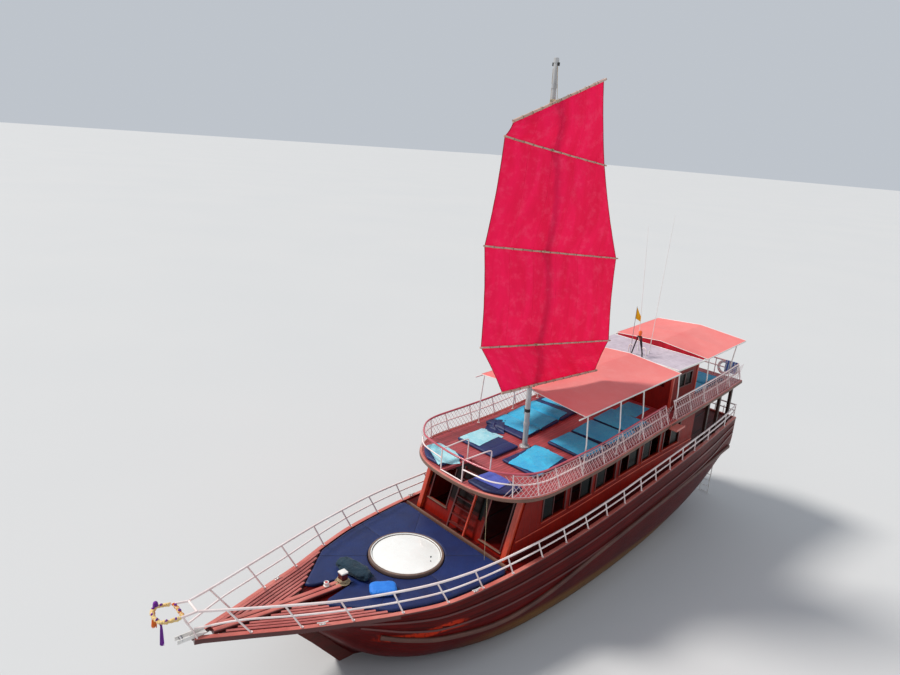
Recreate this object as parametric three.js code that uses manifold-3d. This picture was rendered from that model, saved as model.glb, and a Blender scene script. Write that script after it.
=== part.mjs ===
// Chinese junk ship: a decked wooden motor-sailer with two decks, awnings and one battened sail.
// Millimetres. +X runs to the bow, +Y to port, +Z up; the origin is on the centreline at the waterline.
import * as THREE from 'three';
import { mergeVertices } from 'three/addons/utils/BufferGeometryUtils.js';
import Module from 'manifold-3d';

const wasm = await Module();
wasm.setup();

// Driving dimensions.
const transomX = -10900;
const stemHeadX = 10900;
const platformAftX = 8300;
const platformTipX = 13300;
const stationStep = 1000;
const seatGap = 0.3;
const turningGap = 0.3;

// Deck edge (cap rail's top): x, half breadth, height.
const sheerTable = [
  [-10900, 2030, 4150], [-9000, 2200, 3920], [-7000, 2400, 3740], [-5000, 2580, 3580],
  [-3000, 2720, 3400], [-1000, 2800, 3170], [1000, 2830, 2940], [3000, 2830, 2770],
  [5000, 2760, 2650], [6900, 2530, 2560], [8200, 2120, 2560], [9500, 1600, 2590],
  [10800, 1110, 2680], [12000, 620, 2790], [13300, 120, 2930],
];
// Hull below the deck edge: x, bottom height, bilge half breadth, bilge height, half breadth at the
// wale, wale height.
const bodyTable = [
  [-10900, 2480, 1250, 2520, 1960, 2760],
  [-9900, 1230, 1250, 1420, 2060, 2720],
  [-9000, 380, 1200, 700, 2180, 2680],
  [-8000, -180, 1150, 120, 2280, 2600],
  [-6500, -620, 1250, -260, 2430, 2500],
  [-4000, -850, 1500, -520, 2630, 2310],
  [0, -950, 1720, -640, 2830, 1850],
  [3000, -900, 1600, -600, 2810, 1270],
  [5000, -780, 1200, -480, 2690, 1120],
  [7000, -520, 600, -250, 2350, 1330],
  [8000, -280, 300, -40, 1920, 1500],
  [8700, 60, 160, 340, 1480, 1660],
  [9700, 1240, 120, 1360, 900, 1960],
  [10300, 1900, 90, 1980, 480, 2230],
  [10900, 2440, 60, 2460, 110, 2500],
];
const capRail = { width: 150, height: 60, overhang: 20 };
const keel = { width: 240, bottomZ: -1250, aftX: -7900 };
const wale = { width: 90, height: 150, aftX: -10700, frontX: 8600 };

// Upper deck's top: x, half width, height.
const upperTable = [
  [-10400, 2150, 6040], [-8000, 2350, 5860], [-4000, 2580, 5600], [-2000, 2640, 5370],
  [0, 2670, 5110], [2600, 2690, 4930], [4950, 2690, 4860],
];
const upperDeck = { thickness: 100, aftX: -10400, bowStartX: 2600, frontX: 4950, bowPower: 2.6 };
const stairwell = { halfWidth: 500, aftX: 3450, frontX: 4760 };

const cabin = {
  halfWidth: 2200, wall: 60, frontFootX: 4180, frontFootZ: 2650, frontTopX: 3560, frontRise: 2100, aftX: -6500,
  sill: 850, windowHeight: 900, windowWidth: 1150, windowPitch: 1400, windowCount: 6, firstWindowX: 2750,
};
const house = { halfWidth: 1950, wall: 50, frontX: -4750, aftX: -6550, roofZ: 7480, roofHalf: 2130 };

const deckRailing = { topRadius: 30, midRadius: 20, postRadius: 24, inset: 75 };
// Deck rail posts: foot x, top x, top half breadth.
const postTable = [
  [12000, 12620, 500], [10810, 11320, 1040], [9520, 9990, 1570], [8220, 8610, 2040],
  [6910, 7340, 2390], [5690, 6100, 2620], [4500, 4840, 2730], [3180, 3500, 2770],
  [2000, 2290, 2780], [840, 1170, 2780], [-240, 40, 2770], [-1310, -1050, 2750],
  [-2410, -2150, 2700], [-3440, -3220, 2640], [-4540, -4320, 2570], [-5600, -5410, 2490],
  [-6700, -6520, 2400], [-8000, -7840, 2290], [-9730, -9570, 2120],
];
const upperRailing = {
  topRadius: 32, midRadius: 20, postRadius: 20, height: 800, midHeight: 450, inset: 60, rake: 300, lean: 60,
  sideFrontX: 2570, aftX: -10320, gapFrontX: -3830, gapAftX: -4450,
};
const lattice = {
  strip: 30, low: 40, high: 740, bulge: 22, bulgeFromX: 2000,
  insetPortFore: 1.9, insetPortAft: 0.4, insetStarboard: 0.9,
};

const mast = {
  footX: 1320, topX: 1870, topZ: 17800, footRadius: 95, topRadius: 70, stepRadius: 190, stepHeight: 90,
};
const sailTurn = 12;
const sailPlane = 150;
const spar = { boomRadius: 48, battenRadius: 32, yardRadius: 48 };
// Sail spars: forward end (distance aft of the mast, height), aft end, and radius.
const sparTable = [
  ['boom', -1300, 7270, 2830, 7660, spar.boomRadius],
  ['batten_lower', -2250, 8940, 3330, 8740, spar.battenRadius],
  ['batten_middle', -2330, 12200, 3230, 11720, spar.battenRadius],
  ['batten_upper', -1840, 15440, 2250, 14790, spar.battenRadius],
  ['yard', -1570, 15870, 1850, 17390, spar.yardRadius],
];

// Colours of the materials.
const colours = {
  blue: 0x1f78d6, teal: 0x16404a, maroon: 0x4a1712, cap: 0xb4483c, timber: 0xa8493a, navy: 0x16233f,
  white: 0xe6e4dc, pinkWhite: 0xd9c3bd,
  wood: 0x7b4a2c, redWall: 0x6e1c14, glass: 0x22302f, canvas: 0xd2605a, sail: 0xa80f2c, spar: 0xc9a58c,
  grey: 0xb9b4bb, steel: 0x8b8d8f, bronze: 0xa07a3a, mastGrey: 0xa6a8a8, darkWood: 0x2c1611,
  keelPaint: 0x5b1c16,
};

const junk = new THREE.Group();
junk.name = 'chinese_junk_ship';

// Adds one named sub-part to the ship.
function addPart(name, geometry, colour, roughness = 0.6, metalness = 0) {
  const material = new THREE.MeshStandardMaterial({ color: colour, roughness, metalness });
  const mesh = new THREE.Mesh(geometry, material);
  mesh.name = name;
  junk.add(mesh);
  return mesh;
}

// Turns a closed geometry into a solid for cutting and joining.
function solidOf(geometry) {
  const bare = geometry.clone();
  bare.deleteAttribute('normal');
  bare.deleteAttribute('uv');
  const merged = mergeVertices(bare, 0.001);
  return new wasm.Manifold(new wasm.Mesh({
    numProp: 3,
    vertProperties: new Float32Array(merged.attributes.position.array),
    triVerts: new Uint32Array(merged.index.array),
  }));
}

function geometryOf(solid) {
  const mesh = solid.simplify(0.05).getMesh();
  const geometry = new THREE.BufferGeometry();
  geometry.setAttribute('position', new THREE.BufferAttribute(mesh.vertProperties, 3));
  geometry.setIndex(new THREE.BufferAttribute(mesh.triVerts, 1));
  geometry.computeVertexNormals();
  return geometry;
}

// Joins geometries into one closed body.
function join(geometries) {
  let solid = solidOf(geometries[0]);
  for (const geometry of geometries.slice(1)) {
    solid = solid.add(solidOf(geometry));
  }
  return geometryOf(solid);
}

// Cuts each of the tools out of a geometry.
function cut(geometry, tools) {
  let solid = solidOf(geometry);
  for (const tool of tools) {
    solid = solid.subtract(solidOf(tool));
  }
  return geometryOf(solid);
}

function moved(geometry, x, y, z) {
  return geometry.clone().translate(x, y, z);
}

// Mirrors a geometry to the other side of the centreline.
function mirrored(geometry) {
  const solid = solidOf(geometry).mirror([0, 1, 0]);
  return geometryOf(solid);
}

// Straight lines between a table's rows, read in one column.
function column(table, x, index) {
  const rows = table[0][0] < table[1][0] ? table : [...table].reverse();
  if (x <= rows[0][0]) {
    return rows[0][index];
  }
  for (let row = 1; row < rows.length; row += 1) {
    if (x <= rows[row][0]) {
      const share = (x - rows[row - 1][0]) / (rows[row][0] - rows[row - 1][0]);
      return rows[row - 1][index] + share * (rows[row][index] - rows[row - 1][index]);
    }
  }
  return rows[rows.length - 1][index];
}

// A smooth curve through a table's rows, read in one column.
function smooth(table, x, index) {
  const last = table.length - 1;
  let row = 0;
  while (row < last - 1 && x > table[row + 1][0]) {
    row += 1;
  }
  const slope = (at) => {
    const low = Math.max(at - 1, 0);
    const high = Math.min(at + 1, last);
    return (table[high][index] - table[low][index]) / (table[high][0] - table[low][0]);
  };
  const width = table[row + 1][0] - table[row][0];
  const t = (x - table[row][0]) / width;
  const a = table[row][index];
  const b = table[row + 1][index];
  return (2 * t ** 3 - 3 * t ** 2 + 1) * a + (t ** 3 - 2 * t ** 2 + t) * width * slope(row)
    + (3 * t ** 2 - 2 * t ** 3) * b + (t ** 3 - t ** 2) * width * slope(row + 1);
}

// Places where the hull, the decks and the walls all have a section, so that they seat on each other.
const stations = [];
for (let x = transomX; x < stemHeadX; x += stationStep) {
  stations.push(x);
}
stations.push(stemHeadX, 12000, platformTipX);
const sheerLine = stations.map((x) => [x, smooth(sheerTable, x, 1), smooth(sheerTable, x, 2)]);
const upperLine = stations.map((x) => [x, smooth(upperTable, x, 1), smooth(upperTable, x, 2)]);

const sheerHalf = (x) => column(sheerLine, x, 1);
const sheerZ = (x) => column(sheerLine, x, 2);
const deckZ = (x) => sheerZ(x) - capRail.height;
const upperZ = (x) => column(upperLine, x, 2);

// Half width of the upper deck, with its rounded front.
function upperHalf(x) {
  const side = column(upperLine, x, 1);
  const share = (x - upperDeck.bowStartX) / (upperDeck.frontX - upperDeck.bowStartX);
  if (share <= 0) {
    return side;
  }
  return side * (1 - Math.min(share, 1) ** upperDeck.bowPower) ** (1 / upperDeck.bowPower);
}

// Skins a row of closed rings, each with the same number of points. The second half of each ring is
// split the other way, so that a symmetrical form stays symmetrical.
function loft(rings) {
  const count = rings[0].length;
  const points = rings.flat();
  const faces = [];
  for (let ring = 0; ring + 1 < rings.length; ring += 1) {
    for (let side = 0; side < count; side += 1) {
      const a = ring * count + side;
      const b = ring * count + (side + 1) % count;
      if (side < count / 2 - 1) {
        faces.push(a, b, a + count, b, b + count, a + count);
      } else {
        faces.push(a, b, b + count, a, b + count, a + count);
      }
    }
  }
  for (const [ring, turn] of [[0, false], [rings.length - 1, true]]) {
    const centre = new THREE.Vector3();
    rings[ring].forEach((point) => centre.addScaledVector(point, 1 / count));
    points.push(centre);
    for (let side = 0; side < count; side += 1) {
      const a = ring * count + side;
      const b = ring * count + (side + 1) % count;
      faces.push(...(turn ? [a, b, points.length - 1] : [b, a, points.length - 1]));
    }
  }
  return closedGeometry(points, faces);
}

// A closed geometry whose faces point out, whichever way they were listed.
function closedGeometry(points, faces) {
  let volume = 0;
  for (let face = 0; face < faces.length; face += 3) {
    const [a, b, c] = [points[faces[face]], points[faces[face + 1]], points[faces[face + 2]]];
    volume += a.dot(b.clone().cross(c));
  }
  const index = volume > 0 ? faces : [...faces].reverse();
  const geometry = new THREE.BufferGeometry();
  const values = points.flatMap((point) => [point.x, point.y, point.z]);
  geometry.setAttribute('position', new THREE.Float32BufferAttribute(values, 3));
  geometry.setIndex(index);
  return geometry;
}

const vec = (x, y, z) => new THREE.Vector3(x, y, z);

function box(x0, x1, y0, y1, z0, z1) {
  const geometry = new THREE.BoxGeometry(x1 - x0, y1 - y0, z1 - z0);
  return geometry.translate((x0 + x1) / 2, (y0 + y1) / 2, (z0 + z1) / 2);
}

function rod(a, b, radius, sides = 8) {
  const geometry = new THREE.CylinderGeometry(radius, radius, a.distanceTo(b), sides);
  const turn = new THREE.Quaternion().setFromUnitVectors(vec(0, 1, 0), b.clone().sub(a).normalize());
  geometry.applyQuaternion(turn);
  return geometry.translate((a.x + b.x) / 2, (a.y + b.y) / 2, (a.z + b.z) / 2);
}

function circle(radius, sides) {
  const shape = new THREE.Shape();
  for (let side = 0; side < sides; side += 1) {
    const angle = 2 * Math.PI * side / sides;
    shape[side ? 'lineTo' : 'moveTo'](radius * Math.cos(angle), radius * Math.sin(angle));
  }
  shape.closePath();
  return shape;
}

// A round bar along a smooth curve through the points.
function tube(points, radius, steps, sides = 6) {
  const path = new THREE.CatmullRomCurve3(points, false, 'centripetal');
  return new THREE.ExtrudeGeometry(circle(radius, sides), { steps, extrudePath: path, bevelEnabled: false });
}

function shapeOf(points, holes = []) {
  const shape = new THREE.Shape(points.map(([u, v]) => new THREE.Vector2(u, v)));
  for (const hole of holes) {
    shape.holes.push(new THREE.Path(hole.map(([u, v]) => new THREE.Vector2(u, v))));
  }
  return shape;
}

// A flat board drawn as x and z, from one y to another.
function boardXZ(points, y0, y1, holes = []) {
  const board = new THREE.ExtrudeGeometry(shapeOf(points, holes), { depth: y1 - y0, bevelEnabled: false });
  return board.rotateX(Math.PI / 2).translate(0, y1, 0);
}

// A flat board drawn as y and z, from one x to another.
function boardYZ(points, x0, x1, holes = []) {
  const board = new THREE.ExtrudeGeometry(shapeOf(points, holes), { depth: x1 - x0, bevelEnabled: false });
  const turn = new THREE.Matrix4().makeBasis(vec(0, 1, 0), vec(0, 0, 1), vec(1, 0, 0));
  return board.applyMatrix4(turn).translate(x0, 0, 0);
}

// A flat board drawn as x and y, from one height to another.
function boardXY(points, z0, z1, holes = []) {
  const board = new THREE.ExtrudeGeometry(shapeOf(points, holes), { depth: z1 - z0, bevelEnabled: false });
  return board.translate(0, 0, z0);
}

// A strip along the ship: at each x the section runs between two half widths and two heights.
function strip(xs, innerY, outerY, lowZ, highZ) {
  return loft(xs.map((x) => [
    vec(x, innerY(x), lowZ(x)), vec(x, outerY(x), lowZ(x)),
    vec(x, outerY(x), highZ(x)), vec(x, innerY(x), highZ(x)),
  ]));
}

const within = (low, high) => [low, ...stations.filter((x) => x > low + 1 && x < high - 1), high];

// Hull and keel.
function hullSection(x) {
  const sheerInset = x > platformAftX ? capRail.width + 10 : capRail.overhang;
  const bottomZ = smooth(bodyTable, x, 1);
  const bilgeY = smooth(bodyTable, x, 2);
  const bilgeZ = smooth(bodyTable, x, 3);
  const waleY = smooth(bodyTable, x, 4);
  const waleZ = smooth(bodyTable, x, 5);
  const topZ = deckZ(x);
  const topY = Math.max(Math.min(sheerHalf(x) - capRail.overhang, waleY + (topZ - waleZ) * 0.9), 60);
  const midZ = bilgeZ + 0.42 * (waleZ - bilgeZ);
  const midY = bilgeY + 0.72 * (waleY - bilgeY);
  const half = [
    [Math.min(60, bilgeY * 0.4), bottomZ], [bilgeY * 0.55, bottomZ + 0.3 * (bilgeZ - bottomZ)],
    [bilgeY, bilgeZ], [midY, midZ], [waleY, waleZ], [topY, topZ],
  ];
  const port = half.map(([y, z]) => vec(x, y, z));
  const starboard = half.map(([y, z]) => vec(x, -y, z)).reverse();
  return [...port, ...starboard];
}

const hullStations = stations.filter((x) => x <= stemHeadX);
const hullForm = loft(hullStations.map(hullSection));
const deckSeat = moved(hullForm, 0, 0, seatGap);

const rudder = {
  stockX: -8750, stockRadius: 45, stockTopZ: 900, pintleRadius: 25, pintleZ: -1210, sides: 24,
  aftX: -9480, frontX: -8560, topZ: -60, bottomZ: -1120,
};

// Radius of a hole with flat sides in which a shaft of as many sides can turn.
const boreRadius = (radius, sides) => (radius + turningGap) / Math.cos(Math.PI / sides);

// Bow platform: side beams on the hull's deck edge, and between them a slatted wing each side of the timber.
const platform = {
  beamWidth: 150, beamDepth: 150, timberHalf: 175, timberAftX: 9000, timberFrontX: 12800, timberRise: 90,
  wingAftX: 8460, wingFrontX: 12680, slatHeight: 24, slatWidth: 95, slatPitch: 125, slatCount: 7, slatInset: 30,
};
const padFront = { sideX: 8300, sideHalf: 2000, noseX: 10100, noseHalf: 330 };
const beamInner = (x) => Math.max(sheerHalf(x) - platform.beamWidth, 10);
const padEdgeHalf = (x) => padFront.sideHalf
  + (x - padFront.sideX) * (padFront.noseHalf - padFront.sideHalf) / (padFront.noseX - padFront.sideX);
const platformXs = within(platformAftX, platformTipX);

const beamPort = strip(platformXs, beamInner, sheerHalf, (x) => sheerZ(x) - platform.beamDepth, sheerZ);
const beamSeat = strip(platformXs, (x) => beamInner(x) - seatGap, (x) => sheerHalf(x) + 100,
  (x) => sheerZ(x) - platform.beamDepth - seatGap, (x) => sheerZ(x) + 100);
const rudderBore = rod(vec(rudder.stockX, 0, -300), vec(rudder.stockX, 0, rudder.stockTopZ + 5),
  boreRadius(rudder.stockRadius, rudder.sides), rudder.sides);
const hull = cut(hullForm, [beamSeat, mirrored(beamSeat), rudderBore]);

function platformWing() {
  const innerY = (x) => Math.max(padEdgeHalf(x), platform.timberHalf - 20);
  const outerY = (x) => beamInner(x) - seatGap;
  const pieces = [strip(within(platform.wingAftX, platform.wingFrontX), innerY, outerY,
    (x) => deckZ(x) + seatGap, sheerZ)];
  for (let slat = 0; slat < platform.slatCount; slat += 1) {
    const slatInset = platform.beamWidth + platform.slatInset + slat * platform.slatPitch;
    const slatOuter = (x) => sheerHalf(x) - slatInset;
    const slatInner = (x) => slatOuter(x) - platform.slatWidth;
    const clear = (x) => slatInner(x) > innerY(x) + 5;
    const steps = [];
    for (let x = platform.wingAftX; x < platform.wingFrontX; x += 20) {
      if (clear(x)) {
        steps.push(x);
      }
    }
    const ends = within(steps[0], steps[steps.length - 1]);
    const slatTopZ = (x) => sheerZ(x) + platform.slatHeight;
    pieces.push(strip(ends, slatInner, slatOuter, (x) => sheerZ(x) - 10, slatTopZ));
  }
  return join(pieces);
}

const timberHalf = (x) => Math.min(platform.timberHalf, beamInner(x) - seatGap);
const timber = strip(within(platform.timberAftX, platform.timberFrontX), (x) => -timberHalf(x), timberHalf,
  (x) => deckZ(x) + seatGap, (x) => sheerZ(x) + platform.timberRise);

addPart('hull', hull, colours.maroon, 0.45);
addPart('bow_platform', join([platformWing(), mirrored(platformWing()), timber]), colours.timber, 0.55);

// Keel, stem and the shoe that carries the rudder.
const shoe = { aftX: -9050, topZ: -1150 };
const shaft = {
  z: -700, radius: 35, sides: 20, hubRadius: 75, hubFrontX: -7980, hubAftX: -8200, boreEndX: -7600, reach: 390,
};

function keelBoard() {
  const outline = [
    [shoe.aftX, keel.bottomZ], [6200, keel.bottomZ], [7350, -900], [8250, -420], [8950, 0], [9930, 1150],
    [10520, 1800], [11100, 2480], [10700, 2480], [9400, 1500], [8000, 300], [5000, 0], [keel.aftX, 200],
    [keel.aftX, shoe.topZ], [shoe.aftX, shoe.topZ],
  ];
  const board = boardXZ(outline, -keel.width / 2, keel.width / 2);
  const shaftBore = rod(vec(keel.aftX - 50, 0, shaft.z), vec(shaft.boreEndX, 0, shaft.z),
    boreRadius(shaft.radius, shaft.sides), shaft.sides);
  const pintleBore = rod(vec(rudder.stockX, 0, rudder.pintleZ - 10), vec(rudder.stockX, 0, shoe.topZ + 50),
    boreRadius(rudder.pintleRadius, rudder.sides), rudder.sides);
  const shifts = [
    [0, 0, 0], [1, 1, -1], [1, -1, -1], [1, 0, -1], [-1, 0, -1], [0, 1, -1], [0, -1, -1], [1, 0, 0],
  ];
  const seats = shifts.map(([x, y, z]) => moved(hullForm, x * seatGap, y * seatGap, z * seatGap));
  return cut(board, [...seats, shaftBore, pintleBore]);
}

// A rubbing strake along the planking, seated on the hull's side.
function waleStrip() {
  const xs = within(wale.aftX, wale.frontX);
  const centreY = (x) => smooth(bodyTable, x, 4);
  const centreZ = (x) => smooth(bodyTable, x, 5);
  const band = strip(xs, (x) => centreY(x) - 120, (x) => centreY(x) + wale.width,
    (x) => centreZ(x) - wale.height / 2, (x) => centreZ(x) + wale.height / 2);
  return cut(band, [moved(hullForm, 0, seatGap, 0)]);
}

const walePort = waleStrip();
const capXs = within(transomX, platformAftX + 20);
const capLength = strip(capXs, (x) => sheerHalf(x) - capRail.width, sheerHalf,
  (x) => deckZ(x) + seatGap, sheerZ);
const capPort = join([capLength, beamPort]);
addPart('keel', keelBoard(), colours.keelPaint, 0.6);
addPart('wale_port', walePort, colours.wood, 0.5);
addPart('wale_starboard', mirrored(walePort), colours.wood, 0.5);
addPart('cap_rail_port', capPort, colours.cap, 0.5);
addPart('cap_rail_starboard', mirrored(capPort), colours.cap, 0.5);

// Rudder on its stock, and propeller on its shaft.
function rudderBlade() {
  const stockTop = vec(rudder.stockX, 0, rudder.stockTopZ);
  const stock = rod(vec(rudder.stockX, 0, rudder.bottomZ), stockTop, rudder.stockRadius, rudder.sides);
  const pintleTop = vec(rudder.stockX, 0, rudder.bottomZ + 20);
  const pintle = rod(vec(rudder.stockX, 0, rudder.pintleZ), pintleTop, rudder.pintleRadius, rudder.sides);
  const outline = [
    [rudder.frontX, 0], [rudder.frontX - 60, 34], [rudder.stockX - 20, 48], [rudder.aftX, 12],
    [rudder.aftX, -12], [rudder.stockX - 20, -48], [rudder.frontX - 60, -34],
  ];
  return join([boardXY(outline, rudder.bottomZ, rudder.topZ), stock, pintle]);
}

function propeller() {
  const pieces = [
    rod(vec(shaft.hubAftX, 0, shaft.z), vec(shaft.hubFrontX, 0, shaft.z), shaft.hubRadius, 12),
    rod(vec(shaft.hubFrontX - 20, 0, shaft.z), vec(shaft.boreEndX - 30, 0, shaft.z), shaft.radius, shaft.sides),
  ];
  const centreX = (shaft.hubAftX + shaft.hubFrontX) / 2;
  for (let blade = 0; blade < 4; blade += 1) {
    const leaf = new THREE.SphereGeometry(1, 10, 6);
    leaf.scale(16, 130, shaft.reach / 2);
    leaf.rotateZ(0.55);
    leaf.translate(0, 0, shaft.reach / 2);
    leaf.rotateX(blade * Math.PI / 2);
    pieces.push(leaf.translate(centreX, 0, shaft.z));
  }
  return join(pieces);
}

addPart('rudder', rudderBlade(), colours.keelPaint, 0.6);
addPart('propeller', propeller(), colours.bronze, 0.35, 1);

// Foredeck: bitt, anchor rollers, sunbathing pad and the round skylight let into it.
const skylight = {
  x: 6500, outer: 1190, ledge: 1000, seat: 1080, bottomZ: 2300, ledgeZ: 2620, topZ: 2710, crown: 40, sideGap: 4,
};
const skylightDiscRadius = skylight.seat - skylight.sideGap;
const bitt = { x: 8860, half: 100, height: 470 };
const roller = {
  x: 13560, z: 3000, radius: 45, half: 70, axleRadius: 12, axleSides: 12, cheek: 20, aftX: 12950,
};
const foredeckPad = {
  aftX: 4560, frontX: 10000, thickness: 110, edge: 60, frontEdge: 40, notchX: 8700, notchHalf: 230,
};
const padTopZ = (x) => deckZ(x) + foredeckPad.thickness;

function lathed(profile, sides) {
  const points = profile.map(([r, z]) => new THREE.Vector2(r, z));
  return new THREE.LatheGeometry(points, sides).rotateX(Math.PI / 2);
}

const skylightRing = moved(lathed([
  [skylight.ledge, skylight.bottomZ], [skylight.outer, skylight.bottomZ], [skylight.outer, skylight.topZ],
  [skylight.seat, skylight.topZ], [skylight.seat, skylight.ledgeZ], [skylight.ledge, skylight.ledgeZ],
  [skylight.ledge, skylight.bottomZ],
], 40), skylight.x, 0, 0);
const skylightDisc = moved(lathed([
  [0, skylight.ledgeZ + seatGap], [skylightDiscRadius, skylight.ledgeZ + seatGap],
  [skylightDiscRadius, skylight.topZ],
  [skylight.seat * 0.55, skylight.topZ + skylight.crown * 0.75], [0, skylight.topZ + skylight.crown],
], 40), skylight.x, 0, 0);

function foredeckPadForm() {
  const sideHalf = (x) => sheerHalf(x) - capRail.width - foredeckPad.edge;
  const half = (x) => Math.min(sideHalf(x), padEdgeHalf(x) - foredeckPad.frontEdge);
  const aftXs = within(foredeckPad.aftX, padFront.sideX - 20);
  const frontXs = within(padFront.sideX + 20, foredeckPad.frontX);
  const pad = strip([...aftXs, padFront.sideX, ...frontXs], (x) => -half(x), half,
    (x) => deckZ(x) + seatGap, padTopZ);
  const hole = rod(vec(skylight.x, 0, 2000), vec(skylight.x, 0, 3200), skylight.outer + 6, 40);
  const notch = box(foredeckPad.notchX, 10400, -foredeckPad.notchHalf, foredeckPad.notchHalf, 2000, 3200);
  return cut(pad, [hole, notch]);
}

// A cushion and a slack bag lying on the pad.
const cushion = { x: 8160, y: 1020, halfLength: 400, halfWidth: 290, height: 170, turn: -0.55 };
const bag = { x: 8330, y: -200, halfLength: 600, halfWidth: 260, height: 280, turn: 1.79 };

function softBlock({ x, y, halfLength, halfWidth, height, turn: angle }) {
  const base = padTopZ(x);
  const form = new THREE.SphereGeometry(1, 16, 10);
  form.scale(halfLength * 1.12, halfWidth * 1.12, height);
  form.rotateZ(angle);
  form.translate(x, y, base + height * 0.35);
  const rim = new THREE.BoxGeometry(halfLength * 2, halfWidth * 2, height * 4);
  rim.rotateZ(angle).translate(x, y, base);
  const above = strip(within(foredeckPad.aftX, foredeckPad.frontX), () => -3000, () => 3000,
    (at) => padTopZ(at) + seatGap, (at) => deckZ(at) + 3000);
  return geometryOf(solidOf(form).intersect(solidOf(rim)).intersect(solidOf(above)));
}

addPart('skylight_ring', cut(skylightRing, [deckSeat]), colours.wood, 0.5);
addPart('skylight_disc', skylightDisc, colours.white, 0.25);
addPart('foredeck_pad', foredeckPadForm(), colours.navy, 0.9);
addPart('foredeck_cushion', softBlock(cushion), colours.blue, 0.85);
addPart('bean_bag', softBlock(bag), colours.teal, 0.9);
const bittPost = box(bitt.x - bitt.half, bitt.x + bitt.half, -bitt.half, bitt.half, 2300,
  deckZ(bitt.x) + bitt.height);
addPart('bitt', cut(bittPost, [deckSeat]), colours.wood, 0.5);

function rollerFrame() {
  const baseZ = sheerZ(platformTipX) + seatGap;
  const inner = roller.half + 5;
  const outer = inner + roller.cheek;
  const outline = [
    [roller.aftX, baseZ], [13250, baseZ], [platformTipX, baseZ], [13690, baseZ + 10], [13690, baseZ + 120],
    [13200, baseZ + 110], [roller.aftX, baseZ + 40],
  ];
  const base = box(roller.aftX, platformTipX - 10, -inner - 5, inner + 5, baseZ, baseZ + 20);
  const axle = rod(vec(roller.x, -200, roller.z), vec(roller.x, 200, roller.z),
    boreRadius(roller.axleRadius, roller.axleSides), roller.axleSides);
  return cut(join([boardXZ(outline, inner, outer), boardXZ(outline, -outer, -inner), base]), [axle]);
}

function anchorRoller() {
  const across = (half, radius, sides) => rod(vec(roller.x, -half, roller.z), vec(roller.x, half, roller.z),
    radius, sides);
  const drum = across(roller.half, roller.radius, 16);
  const axle = across(roller.half + 5 + roller.cheek, roller.axleRadius, roller.axleSides);
  return join([drum, axle]);
}

addPart('roller_frame', rollerFrame(), colours.white, 0.4, 0.5);
addPart('anchor_roller', anchorRoller(), colours.steel, 0.4, 0.8);

// Lower deck rails: raked posts on the cap rail with a top and a middle tube, meeting at the pulpit.
const pulpit = {
  crossX: 13250, crossHalf: 250, crossZ: 3790, middleX: 13600, middleHalf: 300, middleZ: 3835,
  sideX: 14000, frontX: 14150, frontHalf: 330, frontZ: 3900, tubeRadius: 30,
};
const strut = { footX: 13340, footHalf: 135, footZ: 3250, headX: 13600, headZ: 3870, seatX: 13220 };

const stern = { railX: transomX + 120, railHalf: 1950, gapHalf: 500, railHeight: 600, midHeight: 330 };
const railHeight = (x) => 600 + 320 * Math.min(Math.max((x - 1000) / 11000, 0), 1);

function deckRail() {
  const posts = postTable.map(([footX, topX, topHalf]) => {
    const rise = railHeight(footX);
    return { foot: vec(footX, sheerHalf(footX) - deckRailing.inset, sheerZ(footX) - 40),
      top: vec(topX, topHalf, sheerZ(footX) + rise) };
  });
  const joinTop = vec(pulpit.crossX - 40, pulpit.crossHalf + 20, pulpit.crossZ - 5);
  const tops = [joinTop, ...posts.map((post) => post.top)];
  const mids = [vec(strut.footX - 40, strut.footHalf + 5, strut.footZ),
    ...posts.map((post) => post.foot.clone().lerp(post.top, 0.54))];
  const sternAt = (y, height) => vec(stern.railX, y, sheerZ(transomX) + height);
  const aftTop = sternAt(stern.railHalf, stern.railHeight);
  const aftMid = sternAt(stern.railHalf, stern.midHeight);
  const gapTop = sternAt(stern.gapHalf, stern.railHeight);
  const pieces = [
    tube([...tops, aftTop], deckRailing.topRadius, 22),
    tube([...mids, aftMid], deckRailing.midRadius, 22, 5),
    rod(aftTop, gapTop, deckRailing.topRadius, 6),
    rod(aftMid, sternAt(stern.gapHalf, stern.midHeight), deckRailing.midRadius, 6),
    rod(sternAt(stern.gapHalf, -100), gapTop, deckRailing.postRadius, 6),
    rod(sternAt(stern.railHalf, -40), aftTop, deckRailing.postRadius, 6),
  ];
  for (const post of posts) {
    pieces.push(rod(post.foot, post.top, deckRailing.postRadius, 5));
  }
  const seats = [moved(capPort, 0, 0, seatGap), deckSeat];
  return cut(join(pieces), seats);
}

function pulpitForm() {
  const side = (sign) => [
    vec(pulpit.crossX, sign * pulpit.crossHalf, pulpit.crossZ),
    vec(pulpit.middleX, sign * pulpit.middleHalf, pulpit.middleZ),
    vec(pulpit.sideX, sign * pulpit.frontHalf, pulpit.frontZ), vec(pulpit.frontX, sign * 210, pulpit.frontZ),
  ];
  const bar = (x, half, z) => rod(vec(x, -half, z), vec(x, half, z), pulpit.tubeRadius, 6);
  const pieces = [
    tube([...side(1), ...side(-1).reverse()], pulpit.tubeRadius, 24),
    bar(pulpit.crossX, pulpit.crossHalf + 20, pulpit.crossZ),
    bar(pulpit.middleX, pulpit.middleHalf, pulpit.middleZ),
  ];
  for (const sign of [1, -1]) {
    const foot = vec(strut.footX, sign * strut.footHalf, strut.footZ);
    pieces.push(rod(vec(strut.headX, sign * 290, strut.headZ - 30), foot, deckRailing.postRadius, 6));
    const seated = vec(strut.seatX, foot.y, sheerZ(strut.seatX) - 30);
    pieces.push(rod(foot, seated, deckRailing.postRadius, 6));
  }
  const seat = strip(platformXs, () => -400, () => 400, () => 2000, (x) => sheerZ(x) + seatGap);
  return cut(join(pieces), [seat]);
}

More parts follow.
